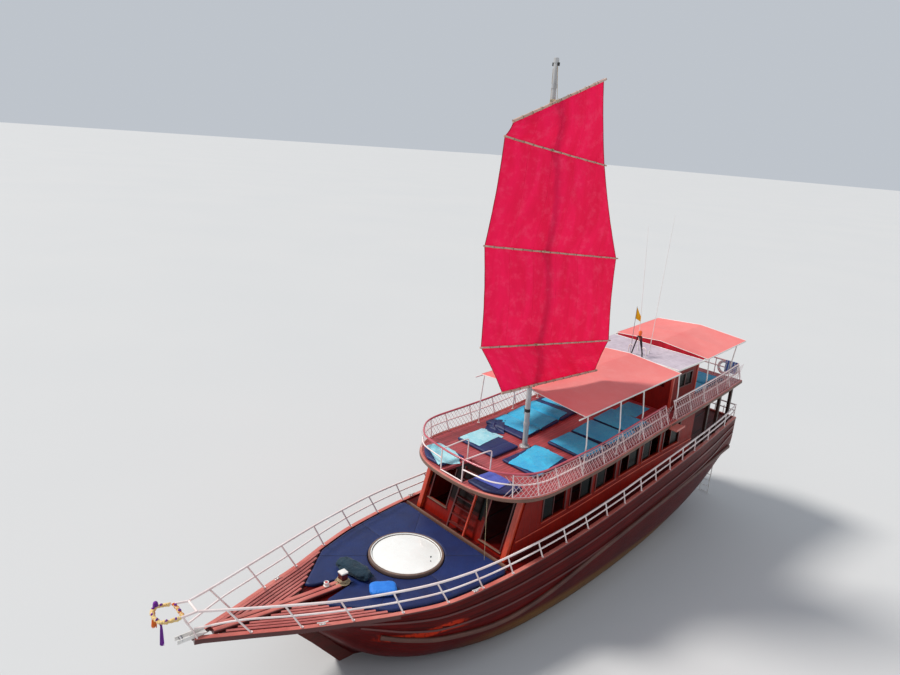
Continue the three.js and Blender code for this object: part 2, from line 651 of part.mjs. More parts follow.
const sideRail = deckRail();
addPart('deck_rail_port', sideRail, colours.pinkWhite, 0.35, 0.4);
addPart('deck_rail_starboard', mirrored(sideRail), colours.pinkWhite, 0.35, 0.4);
addPart('pulpit', pulpitForm(), colours.pinkWhite, 0.35, 0.4);

// Upper deck, with the stairwell behind its front edge.
const roundedXs = [3100, 3500, 3900, 4100, 4300, 4500, 4650, 4780, 4870, 4940];
const upperXs = [...within(upperDeck.aftX, upperDeck.bowStartX), ...roundedXs];
const upperForm = strip(upperXs, (x) => -upperHalf(x), upperHalf,
  (x) => upperZ(x) - upperDeck.thickness, upperZ);
const well = box(stairwell.aftX, stairwell.frontX, -stairwell.halfWidth, stairwell.halfWidth, 4000, 6000);
const upperFloor = cut(upperForm, [well]);
const ceilingSeat = strip(upperXs, (x) => -upperHalf(x) - 50, (x) => upperHalf(x) + 50,
  (x) => upperZ(x) - upperDeck.thickness - seatGap, (x) => upperZ(x) + 1500);
const upperSeat = strip(upperXs, (x) => -upperHalf(x), upperHalf,
  (x) => upperZ(x) - 1500, (x) => upperZ(x) + seatGap);
addPart('upper_deck', upperFloor, colours.redWall, 0.55);

// Cabin: two window walls, a raked front and an aft bulkhead with its door.
const rake = (cabin.frontTopX - cabin.frontFootX) / cabin.frontRise;
const rakedX = (z) => cabin.frontFootX + (z - cabin.frontFootZ) * rake;
const cabinSeats = [deckSeat, ceilingSeat];

function cabinSide() {
  const windows = [];
  for (let index = 0; index < cabin.windowCount; index += 1) {
    const frontX = cabin.firstWindowX - index * cabin.windowPitch;
    const aftX = frontX - cabin.windowWidth;
    const aftSill = deckZ(aftX) + cabin.sill;
    const frontSill = deckZ(frontX) + cabin.sill;
    windows.push([[aftX, aftSill], [frontX, frontSill],
      [frontX, frontSill + cabin.windowHeight], [aftX, aftSill + cabin.windowHeight]]);
  }
  const outline = [[cabin.aftX, 3200], [rakedX(2300), 2300], [rakedX(5200), 5200], [cabin.aftX, 6200]];
  return cut(boardXZ(outline, cabin.halfWidth - cabin.wall, cabin.halfWidth, windows), cabinSeats);
}

const front = {
  openingInner: 900, openingOuter: 1800, sillPort: 150, sillStarboard: 450, head: 1780,
  postWidth: 170, postDepth: 130, windowInner: 560, windowOuter: 720, windowSill: 650,
};

function cabinFront() {
  const inner = cabin.halfWidth - cabin.wall - seatGap;
  const floorZ = deckZ(cabin.frontFootX);
  const hole = (y0, y1, sill) => [[y0, floorZ + sill], [y1, floorZ + sill],
    [y1, floorZ + front.head], [y0, floorZ + front.head]];
  const holes = [
    hole(front.openingInner, front.openingOuter, front.sillPort),
    hole(-front.openingOuter, -front.openingInner, front.sillStarboard),
    hole(front.windowInner, front.windowOuter, front.windowSill),
  ];
  const wall = boardYZ([[-inner, 2200], [inner, 2200], [inner, 5300], [-inner, 5300]], -cabin.wall, 0, holes);
  const posts = [1, -1].map((sign) => {
    const low = Math.min(sign * inner, sign * (inner - front.postWidth));
    return box(-cabin.wall, front.postDepth, low, low + front.postWidth, 2200, 5300);
  });
  const slope = new THREE.Matrix4().makeShear(0, 0, 0, 0, rake, 0).setPosition(rakedX(0), 0, 0);
  return cut(join([wall, ...posts]).applyMatrix4(slope), cabinSeats);
}

const doorway = { half: 400, height: 1800, sill: 120, gap: 6, thickness: 40 };
const hinge = { radius: 9, length: 90, leaf: 60, plate: 5, heights: [420, 1500] };

function cabinAft() {
  const inner = cabin.halfWidth - cabin.wall - seatGap;
  const floorZ = deckZ(cabin.aftX);
  const hole = [[-doorway.half, floorZ + doorway.sill], [doorway.half, floorZ + doorway.sill],
    [doorway.half, floorZ + doorway.height], [-doorway.half, floorZ + doorway.height]];
  const wall = boardYZ([[-inner, 3300], [inner, 3300], [inner, 6100], [-inner, 6100]],
    cabin.aftX, cabin.aftX + cabin.wall, [hole]);
  return cut(wall, cabinSeats);
}

function cabinDoor() {
  const floorZ = deckZ(cabin.aftX);
  const x1 = cabin.aftX + cabin.wall;
  const hingeX = x1 + hinge.radius + seatGap;
  const pieces = [box(x1 - doorway.thickness, x1, -doorway.half + doorway.gap, doorway.half - doorway.gap,
    floorZ + doorway.sill + doorway.gap, floorZ + doorway.height - doorway.gap)];
  for (const height of hinge.heights) {
    const low = floorZ + height;
    const high = low + hinge.length;
    pieces.push(rod(vec(hingeX, -doorway.half, low), vec(hingeX, -doorway.half, high), hinge.radius, 12));
    const edgeY = -doorway.half + doorway.gap + 1;
    pieces.push(box(x1 - 1, x1 + hinge.plate, edgeY, -doorway.half + hinge.leaf, low, high));
  }
  return join(pieces);
}

const cabinWall = cabinSide();
addPart('cabin_wall_port', cabinWall, colours.redWall, 0.5);
addPart('cabin_wall_starboard', mirrored(cabinWall), colours.redWall, 0.5);
addPart('cabin_front', cabinFront(), colours.redWall, 0.5);
addPart('cabin_aft', cabinAft(), colours.redWall, 0.5);
addPart('cabin_door', cabinDoor(), colours.wood, 0.5);

// Ladder from the foredeck up through the stairwell.
const ladder = {
  footX: 4430, footZ: 2620, slope: -0.345, half: 420, stile: 60, depth: 95, topZ: 4850,
  treadCount: 7, treadPitch: 285, firstTread: 300, treadThickness: 35,
};

function frontLadder() {
  const lineX = (z) => ladder.footX + (z - ladder.footZ) * ladder.slope;
  const outline = [
    [lineX(2300), 2300], [lineX(2300) + ladder.depth, 2300],
    [lineX(ladder.topZ) + ladder.depth, ladder.topZ], [lineX(ladder.topZ), ladder.topZ],
  ];
  const pieces = [boardXZ(outline, ladder.half - ladder.stile, ladder.half),
    boardXZ(outline, -ladder.half, -ladder.half + ladder.stile)];
  for (let tread = 0; tread < ladder.treadCount; tread += 1) {
    const z = ladder.footZ + ladder.firstTread + tread * ladder.treadPitch;
    pieces.push(box(lineX(z), lineX(z) + ladder.depth, -ladder.half + 10, ladder.half - 10,
      z, z + ladder.treadThickness));
  }
  return cut(join(pieces), [deckSeat, moved(upperFloor, seatGap, 0, 0)]);
}

addPart('front_ladder', frontLadder(), colours.redWall, 0.5);

// Upper deck rails: raked posts, a middle and a top tube, in a front, two side and a stern length.
const railInset = (x) => upperHalf(x) - upperRailing.inset;
const frontPost = { x: 4250 };

function upperPost(x, sign, height) {
  const raked = (frontPost.x - x) / (frontPost.x - upperRailing.sideFrontX);
  const shift = upperRailing.rake * Math.min(Math.max(raked, 0), 1);
  const share = height / upperRailing.height;
  return vec(x + shift * share, sign * (railInset(x) - upperRailing.lean * share), upperZ(x) + height);
}

function railLength(xs, sign, postXs) {
  const top = xs.map((x) => upperPost(x, sign, upperRailing.height));
  const mid = xs.map((x) => upperPost(x, sign, upperRailing.midHeight));
  const steps = Math.max(4, Math.round(xs.length * 1.6));
  const pieces = [tube(top, upperRailing.topRadius, steps), tube(mid, upperRailing.midRadius, steps)];
  for (const x of postXs) {
    const head = upperPost(x, sign, upperRailing.height);
    pieces.push(rod(upperPost(x, sign, -60), head, upperRailing.postRadius, 6));
  }
  return pieces;
}

const sidePostXs = [frontPost.x, 3480, 2570, 1380, 190, -1000, -2190, -3380];
const curvedXs = (xs) => [xs[0], 3880, xs[1], 3025, ...xs.slice(2)];
const aftPostXs = [upperRailing.gapAftX, -5640, -6830, -8020, -9210, upperRailing.aftX];
const starboardXs = [...sidePostXs, ...aftPostXs];
const portXs = [...sidePostXs, upperRailing.gapFrontX];
const starboardRail = cut(join(railLength(curvedXs(starboardXs), -1, starboardXs)), [upperSeat]);
const portForeRail = cut(join(railLength(curvedXs(portXs), 1, portXs)), [upperSeat]);

const gate = { half: 500, x: 4830, sill: 40, handrailAftX: 3600 };

function frontRail() {
  const xs = [frontPost.x, 4480, 4680, gate.x];
  const ring = (height) => {
    const side = (sign) => xs.map((x) => (x === gate.x
      ? vec(gate.x, sign * gate.half, upperZ(x) + height)
      : upperPost(x + (x === frontPost.x ? 30 : 0), sign, height)));
    return { port: side(1), starboard: side(-1) };
  };
  const top = ring(upperRailing.height);
  const mid = ring(upperRailing.midHeight);
  const topZ = upperZ(gate.x) + upperRailing.height;
  const sillZ = upperZ(gate.x) + gate.sill;
  const pieces = [
    tube([...top.port, vec(gate.x + 30, 0, topZ), ...top.starboard.reverse()], upperRailing.topRadius, 22),
    tube(mid.port, upperRailing.midRadius, 8), tube(mid.starboard, upperRailing.midRadius, 8),
    rod(vec(gate.x, -gate.half, sillZ), vec(gate.x, gate.half, sillZ), upperRailing.midRadius, 6),
  ];
  for (const sign of [1, -1]) {
    const y = sign * gate.half;
    const aft = vec(gate.handrailAftX, y + sign * 40, upperZ(gate.handrailAftX) + upperRailing.height - 30);
    pieces.push(rod(vec(gate.x, y, upperZ(gate.x) - 60), vec(gate.x, y, topZ), upperRailing.postRadius, 6));
    pieces.push(rod(vec(gate.x, y, topZ - 30), aft, upperRailing.midRadius, 6));
    pieces.push(rod(aft, vec(aft.x, aft.y, upperZ(aft.x) - 60), upperRailing.postRadius, 6));
  }
  return cut(join(pieces), [upperSeat]);
}

function sternRail() {
  const across = (share, height, lift) => {
    const port = upperPost(upperRailing.aftX, 1, height);
    const half = share < 0 ? port.y - upperRailing.topRadius * 2 - seatGap : port.y + 9;
    return vec(port.x + lift, share * half, port.z - lift);
  };
  const bar = (height, radius) => rod(across(-1, height, 6), across(1, height, 6), radius, 6);
  const pieces = [
    bar(upperRailing.height, upperRailing.topRadius), bar(upperRailing.midHeight, upperRailing.midRadius),
  ];
  for (const share of [-0.98, -0.5, 0, 0.5]) {
    const head = across(share, upperRailing.height, 3);
    pieces.push(rod(across(share, -60, 2), head, upperRailing.postRadius, 7));
  }
  return cut(join([...pieces, ...railLength(aftPostXs, 1, aftPostXs)]), [upperSeat]);
}

addPart('upper_rail_port_fore', portForeRail, colours.pinkWhite, 0.4, 0.3);
addPart('upper_rail_starboard', starboardRail, colours.pinkWhite, 0.4, 0.3);
addPart('upper_rail_front', frontRail(), colours.pinkWhite, 0.4, 0.3);
addPart('upper_rail_aft', sternRail(), colours.pinkWhite, 0.4, 0.3);

// Lattice outside the posts, one crossing in each bay.
function latticeSide(xs, sign, inset) {
  const side = upperRailing.postRadius + lattice.strip / 2 + seatGap - inset;
  const out = (x) => side + (x > lattice.bulgeFromX ? lattice.bulge : 0);
  const corner = (x, height) => upperPost(x, sign, height).add(vec(0, sign * out(x), 0));
  const pieces = [];
  for (let bay = 0; bay + 1 < xs.length; bay += 1) {
    const [a, b] = [xs[bay], xs[bay + 1]];
    pieces.push(rod(corner(a, lattice.low), corner(b, lattice.high), lattice.strip / 2, 4));
    pieces.push(rod(corner(a, lattice.high), corner(b, lattice.low), lattice.strip / 2, 4));
  }
  return join(pieces);
}

const latticePortFore = latticeSide(curvedXs(portXs), 1, lattice.insetPortFore);
const latticePortAft = latticeSide(aftPostXs, 1, lattice.insetPortAft);
const latticeStarboard = latticeSide(curvedXs(starboardXs), -1, lattice.insetStarboard);
addPart('lattice_port_fore', latticePortFore, colours.pinkWhite, 0.5);
addPart('lattice_port_aft', latticePortAft, colours.pinkWhite, 0.5);
addPart('lattice_starboard', latticeStarboard, colours.pinkWhite, 0.5);

// House on the upper deck and its roof.
const houseInner = house.halfWidth - house.wall - seatGap;
const roofTopZ = (x) => house.roofZ - (x - house.frontX) * 0.05;
const roof = strip([house.aftX - 60, house.frontX + 60], () => -house.roofHalf, () => house.roofHalf,
  (x) => roofTopZ(x) - 60, roofTopZ);
const roofSeat = strip([house.aftX - 60, house.frontX + 60], () => -house.roofHalf, () => house.roofHalf,
  (x) => roofTopZ(x) - 60 - seatGap, (x) => roofTopZ(x) + 500);

function houseSide() {
  const outline = [[house.aftX, 5000], [house.frontX, 5000], [house.frontX, 7700], [house.aftX, 7700]];
  const window = [[-6150, 6650], [-5150, 6600], [-5150, 7150], [-6150, 7200]];
  return cut(boardXZ(outline, house.halfWidth - house.wall, house.halfWidth, [window]), [upperSeat, roofSeat]);
}

function houseEnd(x, floorZ) {
  const hole = [[-380, floorZ + 100], [380, floorZ + 100], [380, floorZ + 1650], [-380, floorZ + 1650]];
  const windows = [1, -1].map((sign) => {
    const [low, high] = sign > 0 ? [700, 1600] : [-1600, -700];
    return [[low, floorZ + 950], [high, floorZ + 950], [high, floorZ + 1500], [low, floorZ + 1500]];
  });
  const outline = [[-houseInner, 5000], [houseInner, 5000], [houseInner, 7700], [-houseInner, 7700]];
  return cut(boardYZ(outline, x, x + house.wall, [hole, ...windows]), [upperSeat, roofSeat]);
}

const houseWall = houseSide();
addPart('house_wall_port', houseWall, colours.redWall, 0.5);
addPart('house_wall_starboard', mirrored(houseWall), colours.redWall, 0.5);
addPart('house_front', houseEnd(house.frontX - house.wall, upperZ(house.frontX)), colours.redWall, 0.5);
addPart('house_aft', houseEnd(house.aftX, upperZ(house.aftX)), colours.redWall, 0.5);
addPart('house_roof', roof, colours.grey, 0.5);

// Awnings: a canvas with a low ridge on a tube frame.
const awning = { thickness: 12, tubeRadius: 24, footInset: 220, kneeHeight: 1000 };
const foreAwning = {
  frontX: 1370, aftX: -4600, frontHalf: 2410, aftHalf: 2300, frontZ: 6990, aftZ: 7400, ridge: 170, barX: 1250,
  postXs: [1200, -670, -2090, -4520], poleFrontX: 1660, drop: 1.7,
};
const aftAwning = {
  frontX: -6770, aftX: -10070, frontHalf: 2180, aftHalf: 2150, frontZ: 7600, aftZ: 7900, ridge: 180, barX: -6800,
  postXs: [-6960, -9280], poleFrontX: -6700, drop: 2.2,
};

function awningAt(frame, x) {
  const share = (frame.frontX - x) / (frame.frontX - frame.aftX);
  return {
    half: THREE.MathUtils.lerp(frame.frontHalf, frame.aftHalf, share),
    z: THREE.MathUtils.lerp(frame.frontZ, frame.aftZ, share),
  };
}

function canvasForm(frame) {
  const ring = (x) => {
    const { half, z } = awningAt(frame, x);
    return [vec(x, 0, z + frame.ridge), vec(x, half, z), vec(x, half, z + awning.thickness),
      vec(x, 0, z + frame.ridge + awning.thickness)];
  };
  const portHalf = loft([ring(frame.aftX), ring(frame.frontX)]);
  return join([portHalf, mirrored(portHalf)]);
}

function awningFrame(frame) {
  const r = awning.tubeRadius;
  const below = r + seatGap + frame.drop;
  const line = (x, y, z) => vec(x, y, z - below);
  const pieces = [];
  const aftX = frame.aftX + 30;
  const bars = [frame.barX, (frame.barX + aftX) / 2, aftX];
  for (const sign of [1, -1]) {
    const start = awningAt(frame, frame.poleFrontX);
    const end = awningAt(frame, aftX);
    const edgeFront = line(frame.poleFrontX, sign * (start.half - 30), start.z);
    pieces.push(rod(edgeFront, line(aftX - 20, sign * (end.half - 30), end.z), r, 6));
    for (const x of frame.postXs) {
      const { half, z } = awningAt(frame, x);
      const foot = vec(x, sign * (upperHalf(x) - awning.footInset), upperZ(x) - 60);
      const kneeZ = upperZ(x) + awning.kneeHeight;
      pieces.push(rod(foot, vec(x, foot.y, kneeZ), r, 6));
      pieces.push(rod(vec(x, foot.y, kneeZ - 20), line(x, sign * (half - 30), z), r, 6));
    }
    for (const x of bars) {
      const { half, z } = awningAt(frame, x);
      pieces.push(rod(line(x, 0, z + frame.ridge), line(x, sign * (half - 20), z), r, 6));
    }
  }
  const first = awningAt(frame, frame.barX);
  const last = awningAt(frame, aftX);
  const ridgeFront = line(frame.barX + 20, 0, first.z + frame.ridge);
  pieces.push(rod(ridgeFront, line(aftX - 20, 0, last.z + frame.ridge), r, 6));
  return cut(join(pieces), [upperSeat]);
}

// Mast, stepped on the upper deck and leaning forward a little.
const mastFootZ = upperZ(mast.footX);
const mastLean = (mast.topX - mast.footX) / (mast.topZ - mastFootZ);
const mastX = (z) => mast.footX + (z - mastFootZ) * mastLean;
const mastTaper = (mast.topRadius - mast.footRadius) / (mast.topZ - mastFootZ);
const mastRadius = (z) => mast.footRadius + (z - mastFootZ) * mastTaper;
const mastSides = 40;
const ringSides = 16;

// Turns a geometry drawn along an axis so that it follows the mast.
function alongMast(geometry, axis) {
  const turned = new THREE.Quaternion().setFromUnitVectors(axis, vec(mastLean, 0, 1).normalize());
  return geometry.applyQuaternion(turned);
}

function mastForm() {
  const low = mastFootZ - 60;
  const pole = new THREE.CylinderGeometry(mastRadius(mast.topZ), mastRadius(low), 1, mastSides);
  const length = Math.hypot(mastX(mast.topZ) - mastX(low), mast.topZ - low);
  alongMast(pole.scale(1, length, 1), vec(0, 1, 0));
  pole.translate((mastX(mast.topZ) + mastX(low)) / 2, 0, (mast.topZ + low) / 2);
  const stepTop = vec(mast.footX, 0, mastFootZ + mast.stepHeight);
  const step = rod(vec(mast.footX, 0, low), stepTop, mast.stepRadius, mastSides);
  return cut(join([pole, step]), [upperSeat]);
}

const mastClear = new THREE.CylinderGeometry(mast.footRadius + 30, mast.footRadius + 30, 4000, mastSides);
alongMast(mastClear, vec(0, 1, 0)).translate(mastX(7000), 0, 7000);
addPart('awning_fore', cut(canvasForm(foreAwning), [mastClear]), colours.canvas, 0.85);
addPart('awning_aft', canvasForm(aftAwning), colours.canvas, 0.85);
addPart('awning_frame_fore', awningFrame(foreAwning), colours.white, 0.4, 0.4);
addPart('awning_frame_aft', awningFrame(aftAwning), colours.white, 0.4, 0.4);
addPart('mast', mastForm(), colours.mastGrey, 0.45, 0.3);

// Battened sail, held to the port side of the mast by a ring on each spar.
const turn = THREE.MathUtils.degToRad(sailTurn);
const sailMatrix = new THREE.Matrix4().makeBasis(vec(-Math.cos(turn), Math.sin(turn), 0), vec(mastLean, 0, 1),
  vec(Math.sin(turn), Math.cos(turn), 0)).setPosition(mastX(0), 0, 0);
const sailPoint = (s, z, out) => vec(s, z, out).applyMatrix4(sailMatrix);
const cloth = { thickness: 8, inset: 60 };

// Height at which a spar crosses the mast.
const crossHeight = (s0, z0, s1, z1) => z0 - (z1 - z0) * s0 / (s1 - s0);

function sparForm(aftOf0, z0, aftOf1, z1, radius) {
  const out = sailPlane + cloth.thickness / 2 + seatGap + radius;
  const crossZ = crossHeight(aftOf0, z0, aftOf1, z1);
  const inner = (mastRadius(crossZ - 20) + seatGap) / Math.cos(Math.PI / ringSides);
  const outer = inner + 22;
  const ring = lathed([[inner, -20], [outer, -20], [outer, 20], [inner, 20], [inner, -20]], ringSides);
  alongMast(ring, vec(0, 0, 1)).translate(mastX(crossZ), 0, crossZ);
  const lug = rod(sailPoint(0, crossZ, inner + 11), sailPoint(0, crossZ, out), 16, 6);
  return join([rod(sailPoint(aftOf0, z0, out), sailPoint(aftOf1, z1, out), radius, 8), ring, lug]);
}

function sailCloth() {
  const edge = sparTable.map(([, s0, z0, s1, z1]) => [[s0 + cloth.inset, z0], [s1 - cloth.inset, z1]]);
  const outline = [...edge.map(([luff]) => luff), ...edge.map(([, leech]) => leech).reverse()];
  const sheet = new THREE.ExtrudeGeometry(shapeOf(outline), { depth: cloth.thickness, bevelEnabled: false });
  sheet.translate(0, 0, sailPlane - cloth.thickness / 2);
  sheet.applyMatrix4(sailMatrix);
  const holes = sparTable.map(([, s0, z0, s1, z1]) => {
    const crossZ = crossHeight(s0, z0, s1, z1);
    return rod(sailPoint(0, crossZ, 60), sailPoint(0, crossZ, 400), 18, 6);
  });
  return cut(sheet, holes);
}

for (const [name, ...places] of sparTable) {
  addPart(name, sparForm(...places), colours.spar, 0.6);
}
addPart('sail', sailCloth(), colours.sail, 0.9);

// Sunbathing pads: x from aft to front, y from starboard to port. Those on the brow follow its edge.
const padHeight = 140;
const browInset = 150;
const padTable = [
  ['brow_pad_port', 3600, 4750, 590, 2050], ['brow_pad_starboard', 3600, 4750, -2050, -590],
  ['sun_pad_fore_port', 1000, 2800, 250, 1750], ['sun_pad_fore_starboard', 1560, 2900, -1900, 0],
  ['sun_pads_port', -3300, 620, 350, 2250], ['sun_pads_starboard', -3300, 1100, -2250, -350],
  ['sun_pads_aft', -9800, -7200, -1700, 1700],
];
for (const [name, aftX, frontX, low, high] of padTable) {
  const xs = [aftX, ...upperXs.filter((x) => x > aftX + 1 && x < frontX - 1), frontX];
  const reach = (x) => upperHalf(x) - browInset;
  const pad = strip(xs, (x) => Math.max(low, -reach(x)), (x) => Math.min(high, reach(x)),
    (x) => upperZ(x) + seatGap, (x) => upperZ(x) + padHeight);
  addPart(name, pad, colours.navy, 0.9);
}

// Aft deck posts under the upper deck.
function aftPosts() {
  const beamY = (x) => Math.min(upperHalf(x) - 160, sheerHalf(x) - 165);
  const pieces = [
    strip(within(-10300, -6700), (x) => beamY(x) - 80, beamY, (x) => upperZ(x) - 240, (x) => upperZ(x) - 90),
  ];
  for (const x of [-7750, -8950, -10200]) {
    pieces.push(box(x - 60, x + 60, beamY(x) - 130, beamY(x) - 10, 3500, upperZ(x) - 120));
  }
  return cut(join(pieces), [deckSeat, ceilingSeat]);
}

const postsPort = aftPosts();
const crossBeam = cut(box(-7810, -7690, -2100, 2100, 5600, 5850), [ceilingSeat]);
addPart('aft_posts', join([postsPort, mirrored(postsPort), crossBeam]), colours.darkWood, 0.5);

// Boarding ladder at the stern, hung on the transom.
const boarding = {
  standOff: 60, inner: 950, outer: 1350, bottomZ: -350, topZ: 4500, stileRadius: 22, rungRadius: 16,
  rungCount: 14, rungPitch: 300, firstRungZ: -250, bracketZs: [3900, 2850],
};

function sternLadder() {
  const x = transomX - boarding.standOff;
  const pieces = [];
  for (const y of [boarding.inner, boarding.outer]) {
    pieces.push(rod(vec(x, y, boarding.bottomZ), vec(x, y, boarding.topZ), boarding.stileRadius, 6));
    for (const z of boarding.bracketZs) {
      pieces.push(rod(vec(x, y, z), vec(transomX - seatGap, y, z), boarding.stileRadius, 6));
    }
  }
  for (let rung = 0; rung < boarding.rungCount; rung += 1) {
    const z = boarding.firstRungZ + rung * boarding.rungPitch;
    pieces.push(rod(vec(x, boarding.inner, z), vec(x, boarding.outer, z), boarding.rungRadius, 6));
  }
  return join(pieces);
}

addPart('stern_ladder', sternLadder(), colours.white, 0.4, 0.4);

// Boarding step outside the gap in the port rail.
const step = {
  frontX: -3830, aftX: -4450, out: 330, lip: 25, lowDrop: 160, trayDrop: 120, backDrop: 10, lipDrop: 80,
};

function sideStep() {
  const innerY = (x) => upperHalf(x) + seatGap;
  const xs = within(step.aftX, step.frontX);
  const outerY = (x) => innerY(x) + step.out;
  const below = (drop) => (x) => upperZ(x) - drop;
  const tray = strip(xs, innerY, outerY, below(step.lowDrop), below(step.trayDrop));
  const back = strip(xs, innerY, (x) => innerY(x) + step.lip, below(step.lowDrop), below(step.backDrop));
  const lip = strip(xs, (x) => outerY(x) - step.lip, outerY, below(step.lowDrop), below(step.lipDrop));
  return join([tray, back, lip]);
}

addPart('side_step', sideStep(), colours.cap, 0.5);

export default junk;
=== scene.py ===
import math
import random

import bmesh
import bpy
from mathutils import Matrix, Vector, noise


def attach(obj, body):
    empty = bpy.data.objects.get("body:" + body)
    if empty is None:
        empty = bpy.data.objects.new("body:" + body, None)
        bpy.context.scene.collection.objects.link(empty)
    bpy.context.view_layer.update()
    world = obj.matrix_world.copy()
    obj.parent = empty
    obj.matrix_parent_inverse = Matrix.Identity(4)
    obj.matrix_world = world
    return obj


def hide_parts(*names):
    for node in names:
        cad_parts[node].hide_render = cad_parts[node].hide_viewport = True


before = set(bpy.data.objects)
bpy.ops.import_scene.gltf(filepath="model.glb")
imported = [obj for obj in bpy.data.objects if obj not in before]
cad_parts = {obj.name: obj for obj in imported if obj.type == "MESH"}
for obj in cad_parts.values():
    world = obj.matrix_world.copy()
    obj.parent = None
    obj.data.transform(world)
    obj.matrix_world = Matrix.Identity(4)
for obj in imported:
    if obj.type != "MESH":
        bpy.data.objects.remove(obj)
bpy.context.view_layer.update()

scene = bpy.context.scene
bothSides = ((1, "port"), (-1, "starboard"))

# the ship's lines, in metres. Deck edge: x, half breadth, height of the cap rail's top
sheerTable = [
    (-10.9, 2.03, 4.15), (-9, 2.2, 3.92), (-7, 2.4, 3.74), (-5, 2.58, 3.58), (-3, 2.72, 3.4),
    (-1, 2.8, 3.17), (1, 2.83, 2.94), (3, 2.83, 2.77), (5, 2.76, 2.65), (6.9, 2.53, 2.56),
    (8.2, 2.12, 2.56), (9.5, 1.6, 2.59), (10.8, 1.11, 2.68), (12, 0.62, 2.79), (13.3, 0.12, 2.93),
]
# hull: x, bottom height, bilge half breadth and height, wale half breadth and height
bodyTable = [
    (-10.9, 2.48, 1.25, 2.52, 1.96, 2.76), (-9.9, 1.23, 1.25, 1.42, 2.06, 2.72),
    (-9, 0.38, 1.2, 0.7, 2.18, 2.68), (-8, -0.18, 1.15, 0.12, 2.28, 2.6),
    (-6.5, -0.62, 1.25, -0.26, 2.43, 2.5), (-4, -0.85, 1.5, -0.52, 2.63, 2.31),
    (0, -0.95, 1.72, -0.64, 2.83, 1.85), (3, -0.9, 1.6, -0.6, 2.81, 1.27),
    (5, -0.78, 1.2, -0.48, 2.69, 1.12), (7, -0.52, 0.6, -0.25, 2.35, 1.33),
    (8, -0.28, 0.3, -0.04, 1.92, 1.5), (8.7, 0.06, 0.16, 0.34, 1.48, 1.66),
    (9.7, 1.24, 0.12, 1.36, 0.9, 1.96), (10.3, 1.9, 0.09, 1.98, 0.48, 2.23),
    (10.9, 2.44, 0.06, 2.46, 0.11, 2.5),
]
# upper deck: x, half width, height
upperTable = [
    (-10.4, 2.15, 6.04), (-8, 2.35, 5.86), (-4, 2.58, 5.6), (-2, 2.64, 5.37),
    (0, 2.67, 5.11), (2.6, 2.69, 4.93), (4.95, 2.69, 4.86),
]
brow = {"from": 2.6, "length": 2.35, "power": 2.6}  # the upper deck's rounded front


def at(x, y, z):
    return Vector((x, y, z))


def lerp(a, b, share):
    return a + (b - a) * share


def clamp(value, low=0.0, high=1.0):
    return max(low, min(high, value))


def smooth(table, x, index):
    last = len(table) - 1
    row = 0
    while row < last - 1 and x > table[row + 1][0]:
        row += 1

    def slope(k):
        low, high = max(k - 1, 0), min(k + 1, last)
        return (table[high][index] - table[low][index]) / (table[high][0] - table[low][0])

    width = table[row + 1][0] - table[row][0]
    t = (x - table[row][0]) / width
    a, b = table[row][index], table[row + 1][index]
    return ((2 * t ** 3 - 3 * t ** 2 + 1) * a + (t ** 3 - 2 * t ** 2 + t) * width * slope(row)
            + (3 * t ** 2 - 2 * t ** 3) * b + (t ** 3 - t ** 2) * width * slope(row + 1))


def sheerHalf(x):
    return smooth(sheerTable, x, 1)


def sheerZ(x):
    return smooth(sheerTable, x, 2)


def deckZ(x):
    return sheerZ(x) - 0.06


def upperZ(x):
    return smooth(upperTable, x, 2)


def upperHalf(x):
    share = (x - brow["from"]) / brow["length"]
    side = smooth(upperTable, x, 1)
    return side if share <= 0 else side * max(1 - min(share, 1) ** brow["power"], 0) ** (1 / brow["power"])


def spread(low, high, pitch):
    count = max(1, math.ceil(abs(high - low) / pitch - 1e-6))
    return [lerp(low, high, k / count) for k in range(count + 1)]


def turnsOf(count):
    return [2 * math.pi * k / count for k in range(count)]


def flip(path, sign=-1):
    return [at(p[0], sign * p[1], p[2]) for p in path]


def curveThrough(points, pitch=0.12):
    points = [Vector(p) for p in points]
    ends = [points[0] * 2 - points[1]] + points + [points[-1] * 2 - points[-2]]
    made = []
    for k in range(1, len(ends) - 2):
        a, b, c, d = ends[k - 1:k + 3]
        knots = [0.0]
        for p, q in ((a, b), (b, c), (c, d)):
            knots.append(knots[-1] + max((q - p).length, 1e-6) ** 0.5)
        k0, k1, k2, k3 = knots
        for share in spread(0, 1, pitch / max((c - b).length, pitch))[:-1]:
            t = lerp(k1, k2, share)
            a1 = a.lerp(b, (t - k0) / (k1 - k0))
            a2 = b.lerp(c, (t - k1) / (k2 - k1))
            a3 = c.lerp(d, (t - k2) / (k3 - k2))
            b1, b2 = a1.lerp(a2, (t - k0) / (k2 - k0)), a2.lerp(a3, (t - k1) / (k3 - k1))
            made.append(b1.lerp(b2, (t - k1) / (k2 - k1)))
    return made + [points[-1]]


# nodes
def plug(tree, node, inputs):
    for key, value in inputs.items():
        if isinstance(value, bpy.types.NodeSocket):
            tree.links.new(value, node.inputs[key])
        else:
            node.inputs[key].default_value = value
    return node


def addNode(tree, kind, inputs, **settings):
    node = tree.nodes.new(kind)
    for key, value in settings.items():
        setattr(node, key, value)
    return plug(tree, node, inputs)


def outOf(tree, kind, inputs, **settings):
    return addNode(tree, kind, inputs, **settings).outputs[0]


def tint(colour):
    return tuple(c / 12.92 if c <= 0.04045 else ((c + 0.055) / 1.055) ** 2.4 for c in colour) + (1.0,)


def noiseOf(tree, vector, scale, detail=4.0, roughness=0.55, distortion=0.0):
    return outOf(tree, "ShaderNodeTexNoise", {
        "Vector": vector, "Scale": scale, "Detail": detail, "Roughness": roughness, "Distortion": distortion})


